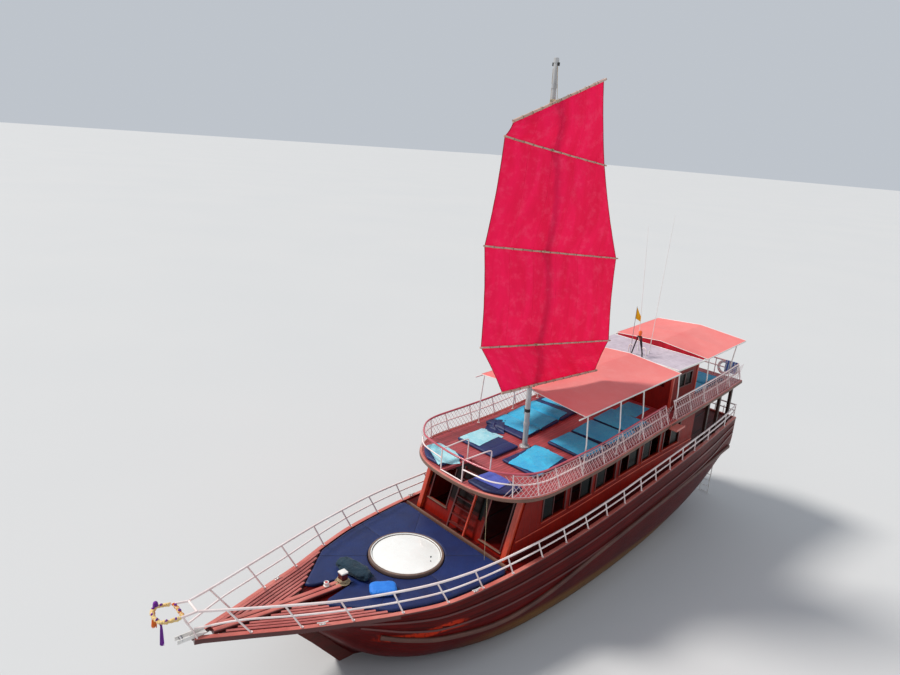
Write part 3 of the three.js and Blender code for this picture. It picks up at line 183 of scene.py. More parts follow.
def rangeOf(tree, value, low, high, bottom=0.0, top=1.0):
    return outOf(tree, "ShaderNodeMapRange", {0: value, 1: low, 2: high, 3: bottom, 4: top})


def mathOf(tree, operation, a, b=0.0):
    return outOf(tree, "ShaderNodeMath", {0: a, 1: b}, operation=operation)


def times(tree, a, b):
    return mathOf(tree, "MULTIPLY", a, b)


def mixOf(tree, share, a, b, blend="MIX"):
    return addNode(tree, "ShaderNodeMix", {0: share, 6: a, 7: b},
                   data_type="RGBA", blend_type=blend).outputs[2]


def stretched(tree, vector, scale):
    return outOf(tree, "ShaderNodeMapping", {"Vector": vector, "Scale": scale})


def placesOf(tree):
    return addNode(tree, "ShaderNodeTexCoord", {}).outputs


def axisOf(tree, vector, axis):  # u and v stand for a map's X and Y
    return addNode(tree, "ShaderNodeSeparateXYZ", {0: vector}).outputs["XYZuv".index(axis) % 3]


def bumpOf(tree, strength, distance, height):
    return outOf(tree, "ShaderNodeBump", {"Strength": strength, "Distance": distance, "Height": height})


def newFinish(name):
    material = bpy.data.materials.new(name)
    material.use_nodes = True
    return material, material.node_tree, material.node_tree.nodes["Principled BSDF"]


def seamsOf(tree, value, pitch, width):  # a line every pitch, and a random tone for each plank
    share = mathOf(tree, "DIVIDE", value, pitch)
    fromMiddle = mathOf(tree, "ABSOLUTE", mathOf(tree, "SUBTRACT", mathOf(tree, "FRACT", share), 0.5))
    seam = rangeOf(tree, fromMiddle, 0.5 - width / pitch, 0.5 - 0.3 * width / pitch)
    plank = mathOf(tree, "FLOOR", share)
    return seam, outOf(tree, "ShaderNodeTexWhiteNoise", {"W": plank}, noise_dimensions="1D")


paintBase = {
    "grain": (0.5, 3, 3), "broad": 0.8, "streak": 5, "speck": 28, "dirtShare": 0.35, "planks": (),
    "plankTone": 0.25, "seamShare": 0.8, "chips": 0, "chipScale": 14, "coat": 0.0, "specular": 0.5,
    "bump": 0.4, "depth": 0.004,
}
clothBase = {
    "uv": False, "stretch": (1, 1, 1), "blotch": 1.2, "fine": 9, "fade": 0.35, "weave": 0.006,
    "threads": "XY", "crease": 4, "stripeShare": 0.45, "rough": 0.85, "sheen": 0.3, "glow": 0,
    "bump": 0.5, "depth": 0.006,
}
hardBase = {
    "smear": 3, "grit": 60, "dirtShare": 0.4, "metal": 0.0, "coat": 0.0, "ior": 1.5, "depth": 0.002,
}


def paintFinish(name, values):
    v = {**paintBase, **values}
    material, tree, shader = newFinish(name)
    places = placesOf(tree)
    place = places["Object"]
    grain = stretched(tree, place, v["grain"])
    broad = rangeOf(tree, noiseOf(tree, place, v["broad"], 3), 0.35, 0.65)
    streak = rangeOf(tree, noiseOf(tree, grain, v["streak"], 7, 0.65), 0.42, 0.72)
    speck = noiseOf(tree, place, v["speck"], 8, 0.7)
    colour = mixOf(tree, broad, tint(v["colour"]), tint(v["faded"]))
    colour = mixOf(tree, times(tree, streak, v["dirtShare"]), colour, tint(v["dirt"]))
    height = times(tree, speck, 0.3)
    for axis, pitch, width in v["planks"]:
        source = places["UV"] if axis in "uv" else place
        seam, tone = seamsOf(tree, axisOf(tree, source, axis), pitch, width)
        shade = rangeOf(tree, tone, 0, 1, 1 - v["plankTone"], 1.0)
        grey = outOf(tree, "ShaderNodeCombineColor", {0: shade, 1: shade, 2: shade})
        colour = mixOf(tree, 1.0, colour, grey, "MULTIPLY")
        colour = mixOf(tree, times(tree, seam, v["seamShare"]), colour, tint(v["seam"]))
        height = mathOf(tree, "SUBTRACT", height, times(tree, seam, 1.6))
    if v["chips"]:
        flakes = noiseOf(tree, grain, v["chipScale"], 9, 0.75)
        worn = rangeOf(tree, flakes, 0.74 - v["chips"], 0.76 - v["chips"])
        colour = mixOf(tree, worn, colour, tint(v["bare"]))
        height = mathOf(tree, "SUBTRACT", height, times(tree, worn, 0.5))
    if "flank" in v:  # faces that stand upright
        upright = rangeOf(tree, axisOf(tree, places["Normal"], "Z"), 0.75, 0.45)
        colour = mixOf(tree, upright, colour, tint(v["flank"]))
    if "dusk" in v:  # painted shade: darker above a height
        colour = mixOf(tree, rangeOf(tree, axisOf(tree, place, "Z"), *v["duskFrom"]), colour, tint(v["dusk"]))
    plug(tree, shader, {
        "Base Color": colour,
        "Roughness": rangeOf(tree, speck, 0.3, 0.7, v["rough"] - 0.08, v["rough"] + 0.1),
        "Coat Weight": v["coat"], "Coat Roughness": 0.15, "Specular IOR Level": v["specular"],
        "Normal": bumpOf(tree, v["bump"], v["depth"], height)})
    return material


def clothFinish(name, values):
    v = {**clothBase, **values}
    material, tree, shader = newFinish(name)
    place = placesOf(tree)["UV" if v["uv"] else "Object"]
    hang = stretched(tree, place, v["stretch"])
    blotch = rangeOf(tree, noiseOf(tree, hang, v["blotch"], 7, 0.6, 0.6), 0.32, 0.7)
    fine = noiseOf(tree, place, v["fine"], 8, 0.7)
    colour = mixOf(tree, blotch, tint(v["colour"]), tint(v["shade"]))
    colour = mixOf(tree, rangeOf(tree, fine, 0.5, 0.85, 0, v["fade"]), colour, tint(v["pale"]))
    wave = {"Vector": place, "Scale": 0.314 / v["weave"], "Distortion": 0.6}
    threads = [addNode(tree, "ShaderNodeTexWave", wave, bands_direction=axis).outputs[1]
               for axis in v["threads"]]
    height = times(tree, mathOf(tree, "ADD", *threads), 0.12)
    height = mathOf(tree, "ADD", height, times(tree, noiseOf(tree, hang, v["crease"], 5, 0.5), 1.4))
    if "panels" in v:
        axis, pitch, width = v["panels"]
        seam, tone = seamsOf(tree, axisOf(tree, place, axis), pitch, width)
        colour = mixOf(tree, times(tree, seam, v["stripeShare"]), colour, tint(v.get("stripe", v["shade"])))
        height = mathOf(tree, "ADD", height, times(tree, seam, 0.6))
    bump = bumpOf(tree, v["bump"], v["depth"], height)
    plug(tree, shader, {"Base Color": colour, "Roughness": v["rough"], "Sheen Weight": v["sheen"],
                        "Sheen Roughness": 0.4, "Normal": bump})
    if v["glow"]:  # light passes through thin cloth
        through = outOf(tree, "ShaderNodeBsdfTranslucent", {"Color": colour, "Normal": bump})
        both = outOf(tree, "ShaderNodeMixShader", {0: v["glow"], 1: shader.outputs[0], 2: through})
        plug(tree, tree.nodes["Material Output"], {0: both})
    return material


def hardFinish(name, values):  # metals, glass and mouldings, with smears and fine scratches
    v = {**hardBase, **values}
    material, tree, shader = newFinish(name)
    place = placesOf(tree)["Object"]
    smear = noiseOf(tree, place, v["smear"], 6, 0.65, 0.8)
    dirty = rangeOf(tree, smear, 0.4, 0.75, 0, v["dirtShare"])
    plug(tree, shader, {
        "Base Color": mixOf(tree, dirty, tint(v["colour"]), tint(v["dirt"])),
        "Roughness": rangeOf(tree, smear, 0.3, 0.7, v["rough"] - 0.04, v["rough"] + 0.12),
        "Metallic": v["metal"], "Coat Weight": v["coat"], "IOR": v["ior"],
        "Normal": bumpOf(tree, 0.25, v["depth"], noiseOf(tree, place, v["grit"], 6, 0.7))})
    return material


def paint(colour, faded, dirt, rough, grain, **more):
    return dict(more, colour=colour, faded=faded, dirt=dirt, rough=rough, grain=grain)


def cloth(colour, shade, pale, **more):
    return dict(more, colour=colour, shade=shade, pale=pale)


def hard(colour, dirt, rough, **more):
    return dict(more, colour=colour, dirt=dirt, rough=rough)


print("finishes")
even = (1, 1, 1)
paints = {
    "salmonPaint": paint(
        (0.76, 0.37, 0.33), (0.84, 0.50, 0.45), (0.45, 0.17, 0.15), 0.42, (0.35, 5, 5), chips=0.02,
        bare=(0.45, 0.33, 0.27), coat=0.25, bump=0.5),
    "slatPaint": paint(
        (0.71, 0.36, 0.34), (0.80, 0.47, 0.44), (0.38, 0.15, 0.14), 0.5, (0.3, 7, 7), dirtShare=0.5,
        chips=0.05, bare=(0.50, 0.38, 0.33), bump=0.5),
    "darkDeck": paint(
        (0.24, 0.08, 0.07), (0.31, 0.11, 0.09), (0.10, 0.04, 0.04), 0.5, (0.3, 4, 4),
        planks=[("Y", 0.14, 0.012)], seam=(0.05, 0.02, 0.02), bump=0.5),
    "redDeck": paint(
        (0.62, 0.15, 0.08), (0.68, 0.20, 0.11), (0.30, 0.06, 0.04), 0.4, (0.3, 4, 4),
        planks=[("Y", 0.14, 0.010)], seam=(0.20, 0.04, 0.03), plankTone=0.15),
    "sunDeck": paint(
        (0.66, 0.25, 0.27), (0.76, 0.37, 0.39), (0.42, 0.17, 0.17), 0.45, (0.25, 4, 4), dirtShare=0.55,
        planks=[("Y", 0.12, 0.012)], seam=(0.35, 0.13, 0.13), plankTone=0.18, chips=0.03,
        bare=(0.60, 0.46, 0.44), bump=0.5),
    "redWall": paint(
        (0.50, 0.075, 0.045), (0.56, 0.105, 0.06), (0.20, 0.03, 0.02), 0.35, (3, 3, 0.6),
        planks=[("X", 0.33, 0.010)], seam=(0.16, 0.02, 0.02), plankTone=0.12, coat=0.05,
        specular=0.12, seamShare=0.6),
    "orangePost": paint(
        (0.72, 0.19, 0.09), (0.78, 0.25, 0.12), (0.35, 0.07, 0.04), 0.35, (4, 4, 0.5), coat=0.4),
    "maroonWood": paint(
        (0.30, 0.07, 0.06), (0.38, 0.10, 0.08), (0.12, 0.03, 0.03), 0.38, (2, 2, 0.7), coat=0.3),
    "darkWood": paint(
        (0.17, 0.09, 0.07), (0.24, 0.13, 0.10), (0.07, 0.04, 0.03), 0.45, (3, 3, 0.5), streak=9),
    "brownTrim": paint(
        (0.42, 0.29, 0.24), (0.52, 0.38, 0.32), (0.20, 0.13, 0.11), 0.5, (0.4, 6, 6), dirtShare=0.6,
        streak=8),
    "rimWood": paint(
        (0.42, 0.33, 0.29), (0.52, 0.43, 0.38), (0.20, 0.14, 0.12), 0.45, (1, 1, 4), streak=7, coat=0.2),
    "railPaint": paint(
        (0.95, 0.87, 0.86), (0.97, 0.93, 0.92), (0.72, 0.57, 0.54), 0.32, even, streak=3, dirtShare=0.3,
        chips=0.015, bare=(0.45, 0.26, 0.20), coat=0.3),
    "whitePaint": paint(
        (0.90, 0.89, 0.87), (0.94, 0.93, 0.92), (0.60, 0.55, 0.50), 0.32, even, streak=3, dirtShare=0.3,
        coat=0.3),
    "topRailPaint": paint(
        (0.74, 0.30, 0.36), (0.80, 0.38, 0.43), (0.45, 0.12, 0.15), 0.3, even, streak=3, coat=0.4),
    "latticePaint": paint(
        (0.84, 0.71, 0.71), (0.90, 0.79, 0.79), (0.60, 0.42, 0.41), 0.45, (2, 2, 2), dirtShare=0.5,
        chips=0.03, bare=(0.42, 0.22, 0.19)),
    "mastPaint": paint(
        (0.66, 0.66, 0.67), (0.76, 0.76, 0.76), (0.38, 0.37, 0.36), 0.42, (4, 4, 0.35), dirtShare=0.5,
        streak=4, coat=0.1),
    "bottomPaint": paint(
        (0.36, 0.11, 0.09), (0.42, 0.16, 0.12), (0.14, 0.14, 0.09), 0.7, (0.5, 2, 2), dirtShare=0.6),
    "roofGrey": paint(
        (0.74, 0.68, 0.73), (0.80, 0.75, 0.79), (0.52, 0.46, 0.50), 0.5, even,
        planks=[("Y", 0.61, 0.008)], seam=(0.55, 0.52, 0.54), plankTone=0.05),
    "bamboo": paint(
        (0.83, 0.68, 0.60), (0.88, 0.76, 0.70), (0.42, 0.24, 0.18), 0.45, (1.2, 1.2, 6), dirtShare=0.55,
        streak=6, planks=[("v", 0.37, 0.022)], seam=(0.36, 0.18, 0.13), plankTone=0.22, bump=0.5),
}
paints["waleTrim"] = dict(paints["brownTrim"], colour=(0.32, 0.17, 0.14), faded=(0.42, 0.26, 0.21))
paints["capPaint"] = dict(paints["salmonPaint"], flank=(0.30, 0.05, 0.045))
# the front wall's upper part takes painted shade, for the shadow under the upper deck's overhang
paints["frontWall"] = dict(paints["redWall"], dusk=(0.13, 0.05, 0.04), duskFrom=(3.35, 3.5), coat=0.1)
towelling = {"sheen": 0.15, "weave": 0.009, "blotch": 1.5, "depth": 0.028, "bump": 0.8}
petals = {"blotch": 9, "fine": 20, "crease": 20}
cloths = {
    "sailCloth": cloth(
        (1.0, 0.08, 0.34), (0.92, 0.045, 0.26), (1.0, 0.38, 0.53), uv=True, stretch=(1.6, 0.35, 1),
        blotch=1.1, fine=2.5, fade=0.5, weave=0.012, glow=0.45, panels=("u", 0.93, 0.02), sheen=0.1,
        crease=2.2, depth=0.02),
    "canvas": cloth(
        (1.0, 0.58, 0.56), (0.98, 0.51, 0.50), (1.0, 0.68, 0.66), uv=True, blotch=0.5, fine=2.5,
        weave=0.012, glow=0.3, sheen=0.15, crease=1.2, depth=0.012),
    "crimsonCloth": cloth(
        (0.82, 0.03, 0.17), (0.60, 0.01, 0.10), (0.90, 0.20, 0.30), glow=0.4, weave=0.008, blotch=2),
    "navyCover": cloth(
        (0.03, 0.14, 0.37), (0.02, 0.09, 0.28), (0.07, 0.22, 0.47), rough=0.5, blotch=0.9, fine=5,
        fade=0.25, weave=0.008, sheen=0.04, crease=2.5, depth=0.008),
    "cyanTowel": cloth((0.22, 0.78, 0.94), (0.12, 0.66, 0.88), (0.55, 0.92, 1.0), fine=14, **towelling),
    "paleTowel": cloth(
        (0.72, 0.92, 0.95), (0.50, 0.83, 0.90), (0.95, 0.99, 1.0), fine=10, fade=0.8, **towelling),
    "violetTowel": cloth(
        (0.32, 0.38, 0.74), (0.24, 0.29, 0.62), (0.48, 0.54, 0.86), sheen=0.1, weave=0.009, blotch=1.5,
        fine=12, crease=5, depth=0.012, bump=0.7),
    "tealCloth": cloth(
        (0.045, 0.19, 0.26), (0.025, 0.12, 0.18), (0.09, 0.29, 0.36), sheen=0.15, weave=0.009,
        blotch=1.8, depth=0.015),
    "blueCover": cloth(
        (0.12, 0.50, 0.88), (0.08, 0.42, 0.80), (0.26, 0.64, 0.96), sheen=0.08, rough=0.6, weave=0.008,
        blotch=2, depth=0.008),
    "creamCloth": cloth((0.93, 0.83, 0.58), (0.86, 0.68, 0.38), (0.98, 0.94, 0.82), **petals),
    "orangeCloth": cloth((0.93, 0.47, 0.10), (0.80, 0.33, 0.05), (0.97, 0.66, 0.35), **petals),
    "purpleCloth": cloth((0.48, 0.10, 0.62), (0.34, 0.05, 0.48), (0.66, 0.30, 0.78), **petals),
    "ropeFibre": cloth(
        (0.74, 0.66, 0.52), (0.55, 0.47, 0.36), (0.88, 0.83, 0.72), weave=0.02, threads="XZ", blotch=8,
        fine=40, crease=30, bump=0.8),
    "yellowCloth": cloth((0.95, 0.76, 0.12), (0.86, 0.62, 0.06), (0.98, 0.88, 0.45), glow=0.4, blotch=5),
}
cloths["stripeTowel"] = dict(
    cloths["paleTowel"], panels=("X", 0.12, 0.05), stripe=(0.06, 0.42, 0.86), stripeShare=0.95,
    shade=(0.78, 0.88, 0.94), uv=True)
hards = {
    "windowGlass": hard((0.015, 0.045, 0.04), (0.04, 0.10, 0.09), 0.2, ior=1.25, smear=1.5),
    "dullSteel": hard((0.58, 0.58, 0.60), (0.40, 0.30, 0.24), 0.35, metal=0.9),
    "castBronze": hard((0.70, 0.52, 0.26), (0.30, 0.36, 0.26), 0.35, metal=1.0, smear=8),
    "whiteMoulding": hard((0.95, 0.95, 0.94), (0.80, 0.78, 0.75), 0.22, coat=0.5, dirtShare=0.25),
    "darkRubber": hard((0.07, 0.07, 0.08), (0.18, 0.17, 0.16), 0.6),
    "redLens": hard((0.80, 0.05, 0.07), (0.55, 0.03, 0.05), 0.2, coat=0.5),
    "orangeLens": hard((0.95, 0.42, 0.05), (0.80, 0.28, 0.03), 0.2, coat=0.5),
}
finishes = {}
for table, makeFinish in ((paints, paintFinish), (cloths, clothFinish), (hards, hardFinish)):
    for name, values in table.items():
        finishes[name] = makeFinish(name, values)


# pieces
def settle(piece, finish, body="boat", slot=None, replaces=()):
    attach(piece, body)
    if replaces:
        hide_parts(*([replaces] if isinstance(replaces, str) else replaces))
    return piece


def dress(mesh, names):
    mesh.materials.clear()
    for each in names:
        mesh.materials.append(finishes[each])
    mesh.shade_smooth()


def newPiece(name, mesh, names=(), sharp=180):
    dress(mesh, names)
    if sharp < 180:
        mesh.set_sharp_from_angle(angle=math.radians(sharp))
    piece = bpy.data.objects.new(name, mesh)
    scene.collection.objects.link(piece)
    return piece


def make(name, mesh, finish, sharp=180, **where):
    return settle(newPiece(name, mesh, [finish], sharp), finish, **where)


def gridMesh(name, rows, closed=False, caps=False):
    count = len(rows[0])
    across = count if closed else count - 1
    mesh = bpy.data.meshes.new(name)
    faces, corners = [], []
    rows = [[Vector(p) for p in row] for row in rows]
    along = [0.0]
    for a, b in zip(rows, rows[1:]):
        along.append(along[-1] + (a[count // 2] - b[count // 2]).length)
    for i in range(len(rows) - 1):
        widths = [0.0]
        for j in range(across):
            widths.append(widths[-1] + (rows[i][j] - rows[i][(j + 1) % count]).length)
        for j in range(across):
            k = (j + 1) % count
            faces.append((i * count + j, i * count + k, (i + 1) * count + k, (i + 1) * count + j))
            corners += [(widths[j], along[i]), (widths[j + 1], along[i])]
            corners += [(widths[j + 1], along[i + 1]), (widths[j], along[i + 1])]
    if caps:
        for row in (0, len(rows) - 1):
            faces.append([row * count + j for j in range(count)])
            corners += [(p.y, p.z) for p in rows[row]]
    mesh.from_pydata([tuple(p) for row in rows for p in row], [], faces)
    layer = mesh.uv_layers.new(name="UVMap")
    for corner, place in zip(layer.data, corners):
        corner.uv = place
    return mesh


def outward(mesh):
    form = bmesh.new()
    form.from_mesh(mesh)
    bmesh.ops.remove_doubles(form, verts=form.verts, dist=1e-5)
    bmesh.ops.recalc_face_normals(form, faces=form.faces)
    form.to_mesh(mesh)
    form.free()
    return mesh


def closedForm(name, form):
    bmesh.ops.recalc_face_normals(form, faces=form.faces)
    mesh = bpy.data.meshes.new(name)
    form.to_mesh(mesh)
    form.free()
    return mesh


def lathed(name, profile, centre, count, finish, axis=(0, 0, 1), **where):
    turn = at(0, 0, 1).rotation_difference(Vector(axis)).to_matrix()
    rows = [[Vector(centre) + turn @ at(r * math.cos(a), r * math.sin(a), z) for a in turnsOf(count)]
            for r, z in profile]
    return make(name, outward(gridMesh(name, rows, closed=True)), finish, 30, **where)


def blocks(name, items, finish, bevel=0.006, **where):
    form = bmesh.new()
    for centre, size, *turn in items:
        made = bmesh.ops.create_cube(form, size=1.0)["verts"]
        matrix = Matrix.Translation(Vector(centre))
        for each in turn + [Matrix.Diagonal((*size, 1))]:
            matrix = matrix @ each
        bmesh.ops.transform(form, matrix=matrix, verts=made)
        edges = list({e for v in made for e in v.link_edges})
        reach = min(bevel, 0.45 * min(size))
        bmesh.ops.bevel(form, geom=edges, offset=reach, segments=2, affect="EDGES", profile=0.6)
    return make(name, closedForm(name, form), finish, 40, **where)


def panes(name, quads):
    form = bmesh.new()
    for quad in quads:
        corners = [Vector(p) for p in quad]
        normal = (corners[1] - corners[0]).cross(corners[2] - corners[1]).normalized() * 0.006 / 2
        low = [form.verts.new(p - normal) for p in corners]
        high = [form.verts.new(p + normal) for p in corners]
        form.faces.new(reversed(low))
        form.faces.new(high)
        for k in range(4):
            form.faces.new((low[k], low[(k + 1) % 4], high[(k + 1) % 4], high[k]))
    make(name, closedForm(name, form), "windowGlass", 40)


# Geometry Nodes trees
def newTree(name, inputs):
    tree = bpy.data.node_groups.new(name, "GeometryNodeTree")
    tree.interface.new_socket(name="Geometry", in_out="INPUT", socket_type="NodeSocketGeometry")
    for label, value in inputs.items():
        kind = "Int" if isinstance(value, int) else "Float"
        socket = tree.interface.new_socket(name=label, in_out="INPUT", socket_type="NodeSocket" + kind)
        socket.default_value = value
    tree.interface.new_socket(name="Material", in_out="INPUT", socket_type="NodeSocketMaterial")
    tree.interface.new_socket(name="Geometry", in_out="OUTPUT", socket_type="NodeSocketGeometry")
    given = tree.nodes.new("NodeGroupInput").outputs
    return tree, given, outOf(tree, "GeometryNodeMeshToCurve", {0: given["Geometry"]})


def closeTree(tree, geometry, material):
    real = outOf(tree, "GeometryNodeRealizeInstances", {0: geometry})
    painted = outOf(tree, "GeometryNodeSetMaterial", {"Geometry": real, "Material": material})
    addNode(tree, "NodeGroupOutput", {0: painted})
    return tree


def runTree(name, tree, base, finish, sharp, values, **where):
    carrier = bpy.data.objects.new(name, base)
    scene.collection.objects.link(carrier)
    modifier = carrier.modifiers.new(tree.name, "NODES")
    modifier.node_group = tree
    values = dict(values, Material=finishes[finish])
    for item in tree.interface.items_tree:
        if item.item_type == "SOCKET" and item.in_out == "INPUT" and item.name in values:
            modifier[item.identifier] = values[item.name]
    made = bpy.data.meshes.new_from_object(carrier.evaluated_get(bpy.context.evaluated_depsgraph_get()))
    carrier.modifiers.remove(modifier)
    bpy.data.objects.remove(carrier)
    made.name = name
    return make(name, made, finish, sharp, **where)


def pathMesh(paths, closed=False):
    mesh = bpy.data.meshes.new("paths")
    points, edges = [], []
    for path in paths:
        first = len(points)
        points += [tuple(p) for p in path]
        edges += [(k, k + 1) for k in range(first, len(points) - 1)]
        if closed:
            edges.append((len(points) - 1, first))
    mesh.from_pydata(points, edges, [])
    return mesh


def sweepOf(tree, curve, profile):
    return outOf(tree, "GeometryNodeCurveToMesh", {
        "Curve": curve, "Profile Curve": profile, "Fill Caps": True})


def buildRoundBar():
    tree, given, curve = newTree("roundBar", {"Radius": 0.02, "Sides": 12})
    ring = outOf(tree, "GeometryNodeCurvePrimitiveCircle", {
        "Resolution": given["Sides"], "Radius": given["Radius"]})
    return closeTree(tree, sweepOf(tree, curve, ring), given["Material"])


def buildSquareBar():
    tree, given, curve = newTree("squareBar", {
        "Width": 0.1, "Height": 0.05, "Corner": 0.01, "Corner Steps": 3})
    curve = outOf(tree, "GeometryNodeSetCurveNormal", {"Curve": curve}, mode="Z_UP")
    outline = outOf(tree, "GeometryNodeCurvePrimitiveQuadrilateral", {
        "Width": given["Width"], "Height": given["Height"]})
    rounded = outOf(tree, "GeometryNodeFilletCurve", {
        "Curve": outline, "Count": given["Corner Steps"], "Radius": given["Corner"], "Limit Radius": True},
        mode="POLY")
    return closeTree(tree, sweepOf(tree, curve, rounded), given["Material"])


def buildLatticeRow():  # crossed strips that stand on a path and lean both ways
    tree, given, curve = newTree("latticeRow", {
        "Pitch": 0.14, "Tall": 0.7, "Strip": 0.024, "Thin": 0.008, "Lean": 0.6})
    points = addNode(tree, "GeometryNodeCurveToPoints", {
        "Curve": curve, "Length": given["Pitch"]}, mode="LENGTH")
    tangent = {"Vector": points.outputs["Tangent"]}
    facing = outOf(tree, "FunctionNodeAlignRotationToVector", tangent, axis="X", pivot_axis="Z")
    long = mathOf(tree, "DIVIDE", given["Tall"], mathOf(tree, "COSINE", given["Lean"]))
    size = outOf(tree, "ShaderNodeCombineXYZ", {0: given["Strip"], 1: given["Thin"], 2: long})
    both = tree.nodes.new("GeometryNodeJoinGeometry")
    for side in (1, -1):
        strip = outOf(tree, "GeometryNodeMeshCube", {"Size": size})
        shift = outOf(tree, "ShaderNodeCombineXYZ", {1: times(tree, given["Thin"], 0.55 * side)})
        strip = outOf(tree, "GeometryNodeTransform", {"Geometry": strip, "Translation": shift})
        lean = outOf(tree, "ShaderNodeCombineXYZ", {1: times(tree, given["Lean"], float(side))})
        leaning = outOf(tree, "FunctionNodeRotateRotation", {
            "Rotation": facing, "Rotate By": outOf(tree, "FunctionNodeEulerToRotation", {0: lean})},
            rotation_space="LOCAL")
        strips = outOf(tree, "GeometryNodeInstanceOnPoints", {
            "Points": points.outputs["Points"], "Instance": strip, "Rotation": leaning})
        tree.links.new(strips, both.inputs[0])
    return closeTree(tree, both.outputs[0], given["Material"])


def buildPuffRow():  # petals or knots strung along a path
    tree, given, curve = newTree("puffRow", {
        "Pitch": 0.03, "Size": 0.04, "Flat": 0.6, "Drift": 0.01, "Seed": 1})
    points = addNode(tree, "GeometryNodeCurveToPoints", {
        "Curve": curve, "Length": given["Pitch"]}, mode="LENGTH")

    def chance(low, high, seed):
        return outOf(tree, "FunctionNodeRandomValue", {0: low, 1: high, "Seed": seed},
                     data_type="FLOAT_VECTOR")

    spin = chance((0, 0, 0), (6.28, 6.28, 6.28), given["Seed"])
    jitter = chance((-1, -1, -1), (1, 1, 1), mathOf(tree, "ADD", given["Seed"], 7.0))
    offset = outOf(tree, "ShaderNodeVectorMath", {0: jitter, "Scale": given["Drift"]}, operation="SCALE")
    moved = outOf(tree, "GeometryNodeSetPosition", {"Geometry": points.outputs["Points"], "Offset": offset})
    puff = outOf(tree, "GeometryNodeMeshIcoSphere", {"Radius": given["Size"], "Subdivisions": 2})
    squash = outOf(tree, "ShaderNodeCombineXYZ", {0: 1.0, 1: 1.0, 2: given["Flat"]})
    puff = outOf(tree, "GeometryNodeTransform", {"Geometry": puff, "Scale": squash})
    turned = outOf(tree, "FunctionNodeEulerToRotation", {0: spin})
    placed = outOf(tree, "GeometryNodeInstanceOnPoints", {
        "Points": moved, "Instance": puff, "Rotation": turned})
    return closeTree(tree, placed, given["Material"])


roundBar, squareBar = buildRoundBar(), buildSquareBar()
latticeRow, puffRow = buildLatticeRow(), buildPuffRow()


def bars(name, paths, radius, finish, count=12, closed=False, **where):
    values = {"Radius": radius, "Sides": count}
    return runTree(name, roundBar, pathMesh(paths, closed), finish, 60, values, **where)


def planks(name, paths, width, height, finish, corner=0.008, roundness=3, **where):
    values = {"Width": width, "Height": height, "Corner": corner, "Corner Steps": roundness}
    return runTree(name, squareBar, pathMesh(paths), finish, 50, values, **where)


def puffs(name, paths, finish, pitch, size, flat, drift, seed):
    values = {"Pitch": pitch, "Size": size, "Flat": flat, "Drift": drift, "Seed": seed}
    runTree(name, puffRow, pathMesh(paths), finish, 180, values)


print("camera, floor and light")
view = {"lens": 27.6, "place": (18.867, 14.391, 15.140), "yaw": 3.9579, "pitch": 0.2747, "roll": 0.0770}


def buildCamera():
    pitch, yaw, roll = view["pitch"], view["yaw"], view["roll"]
    ahead = at(math.cos(pitch) * math.cos(yaw), math.cos(pitch) * math.sin(yaw), -math.sin(pitch))
    level = ahead.cross(at(0, 0, 1)).normalized()
    upright = level.cross(ahead)
    right = math.cos(roll) * level + math.sin(roll) * upright
    above = -math.sin(roll) * level + math.cos(roll) * upright
    camera = bpy.data.objects.new("camera", bpy.data.cameras.new("camera"))
    camera.data.lens = view["lens"]
    camera.data.sensor_width = 36
    camera.data.clip_end = 2000
    turn = Matrix((right, above, -ahead)).transposed().to_4x4()
    camera.matrix_world = Matrix.Translation(view["place"]) @ turn
    scene.collection.objects.link(camera)
    scene.camera = camera


def buildFloor():
    finishes["floor"], tree, shader = newFinish("floorFinish")
    patches = noiseOf(tree, placesOf(tree)["Object"], 0.05, 3)
    colour = mixOf(tree, patches, (0.56, 0.57, 0.58, 1), (0.60, 0.60, 0.60, 1))
    plug(tree, shader, {"Base Color": colour, "Roughness": 0.8})
    square = [[(x, y, 0) for x in (-900, 900)] for y in (-900, 900)]
    newPiece("floor", gridMesh("floor", square), ["floor"])


def buildLight():
    sun = bpy.data.objects.new("sun", bpy.data.lights.new("sun", "SUN"))
    sun.data.energy = 3.0
    sun.data.angle = math.radians(13)
    sun.data.color = (1.0, 0.96, 0.90)
    sun.rotation_euler = at(0.50, -0.62, 0.95).to_track_quat("Z", "Y").to_euler()
    scene.collection.objects.link(sun)
    world = scene.world or bpy.data.worlds.new("world")
    scene.world = world
    world.use_nodes = True
    plug(world.node_tree, world.node_tree.nodes["Background"], {0: (0.86, 0.92, 1.0, 1), 1: 0.6})
    scene.view_settings.view_transform = "Standard"


buildCamera()
buildFloor()
buildLight()

print("hull")
hullFacts = {"station": 0.2, "ribs": 26, "planks": 26, "aft": -10.9, "front": 10.9}
# where the ochre band of painted reflection lies on the hull, and its colour
ochreReflection = {"from": (1.05, 0.80), "foreEnd": (6.5, 3.5), "aftEnd": (-8.5, -5.5), "colour": (0.46, 0.31, 0.10)}
sweep = {"height": 1.62, "half": (0.17, 0.12), "aftEnd": (6.1, 6.5), "foreEnd": (8.9, 8.2),
         "colour": (0.78, 0.20, 0.08)}


def hullSection(x, count):
    bottom, bilgeY, bilgeZ, waleY, waleZ = (smooth(bodyTable, x, k) for k in range(1, 6))
    topZ = deckZ(x)
    topY = max(min(sheerHalf(x) - 0.02, waleY + (topZ - waleZ) * 0.9), 0.06)
    frameLine = [
        (topY, topZ), (waleY, waleZ), (bilgeY + 0.72 * (waleY - bilgeY), bilgeZ + 0.42 * (waleZ - bilgeZ)),
        (bilgeY, bilgeZ), (bilgeY * 0.55, bottom + 0.3 * (bilgeZ - bottom)),
        (min(0.06, bilgeY * 0.4), bottom),
    ]
    table, run = [], 0.0
    for k, (y, z) in enumerate(frameLine):
        if k:
            run += max(math.dist(frameLine[k - 1], (y, z)), 0.001)
        table.append((run, y, z))
    return [at(x, smooth(table, run * k / count, 1), smooth(table, run * k / count, 2))
            for k in range(count + 1)]


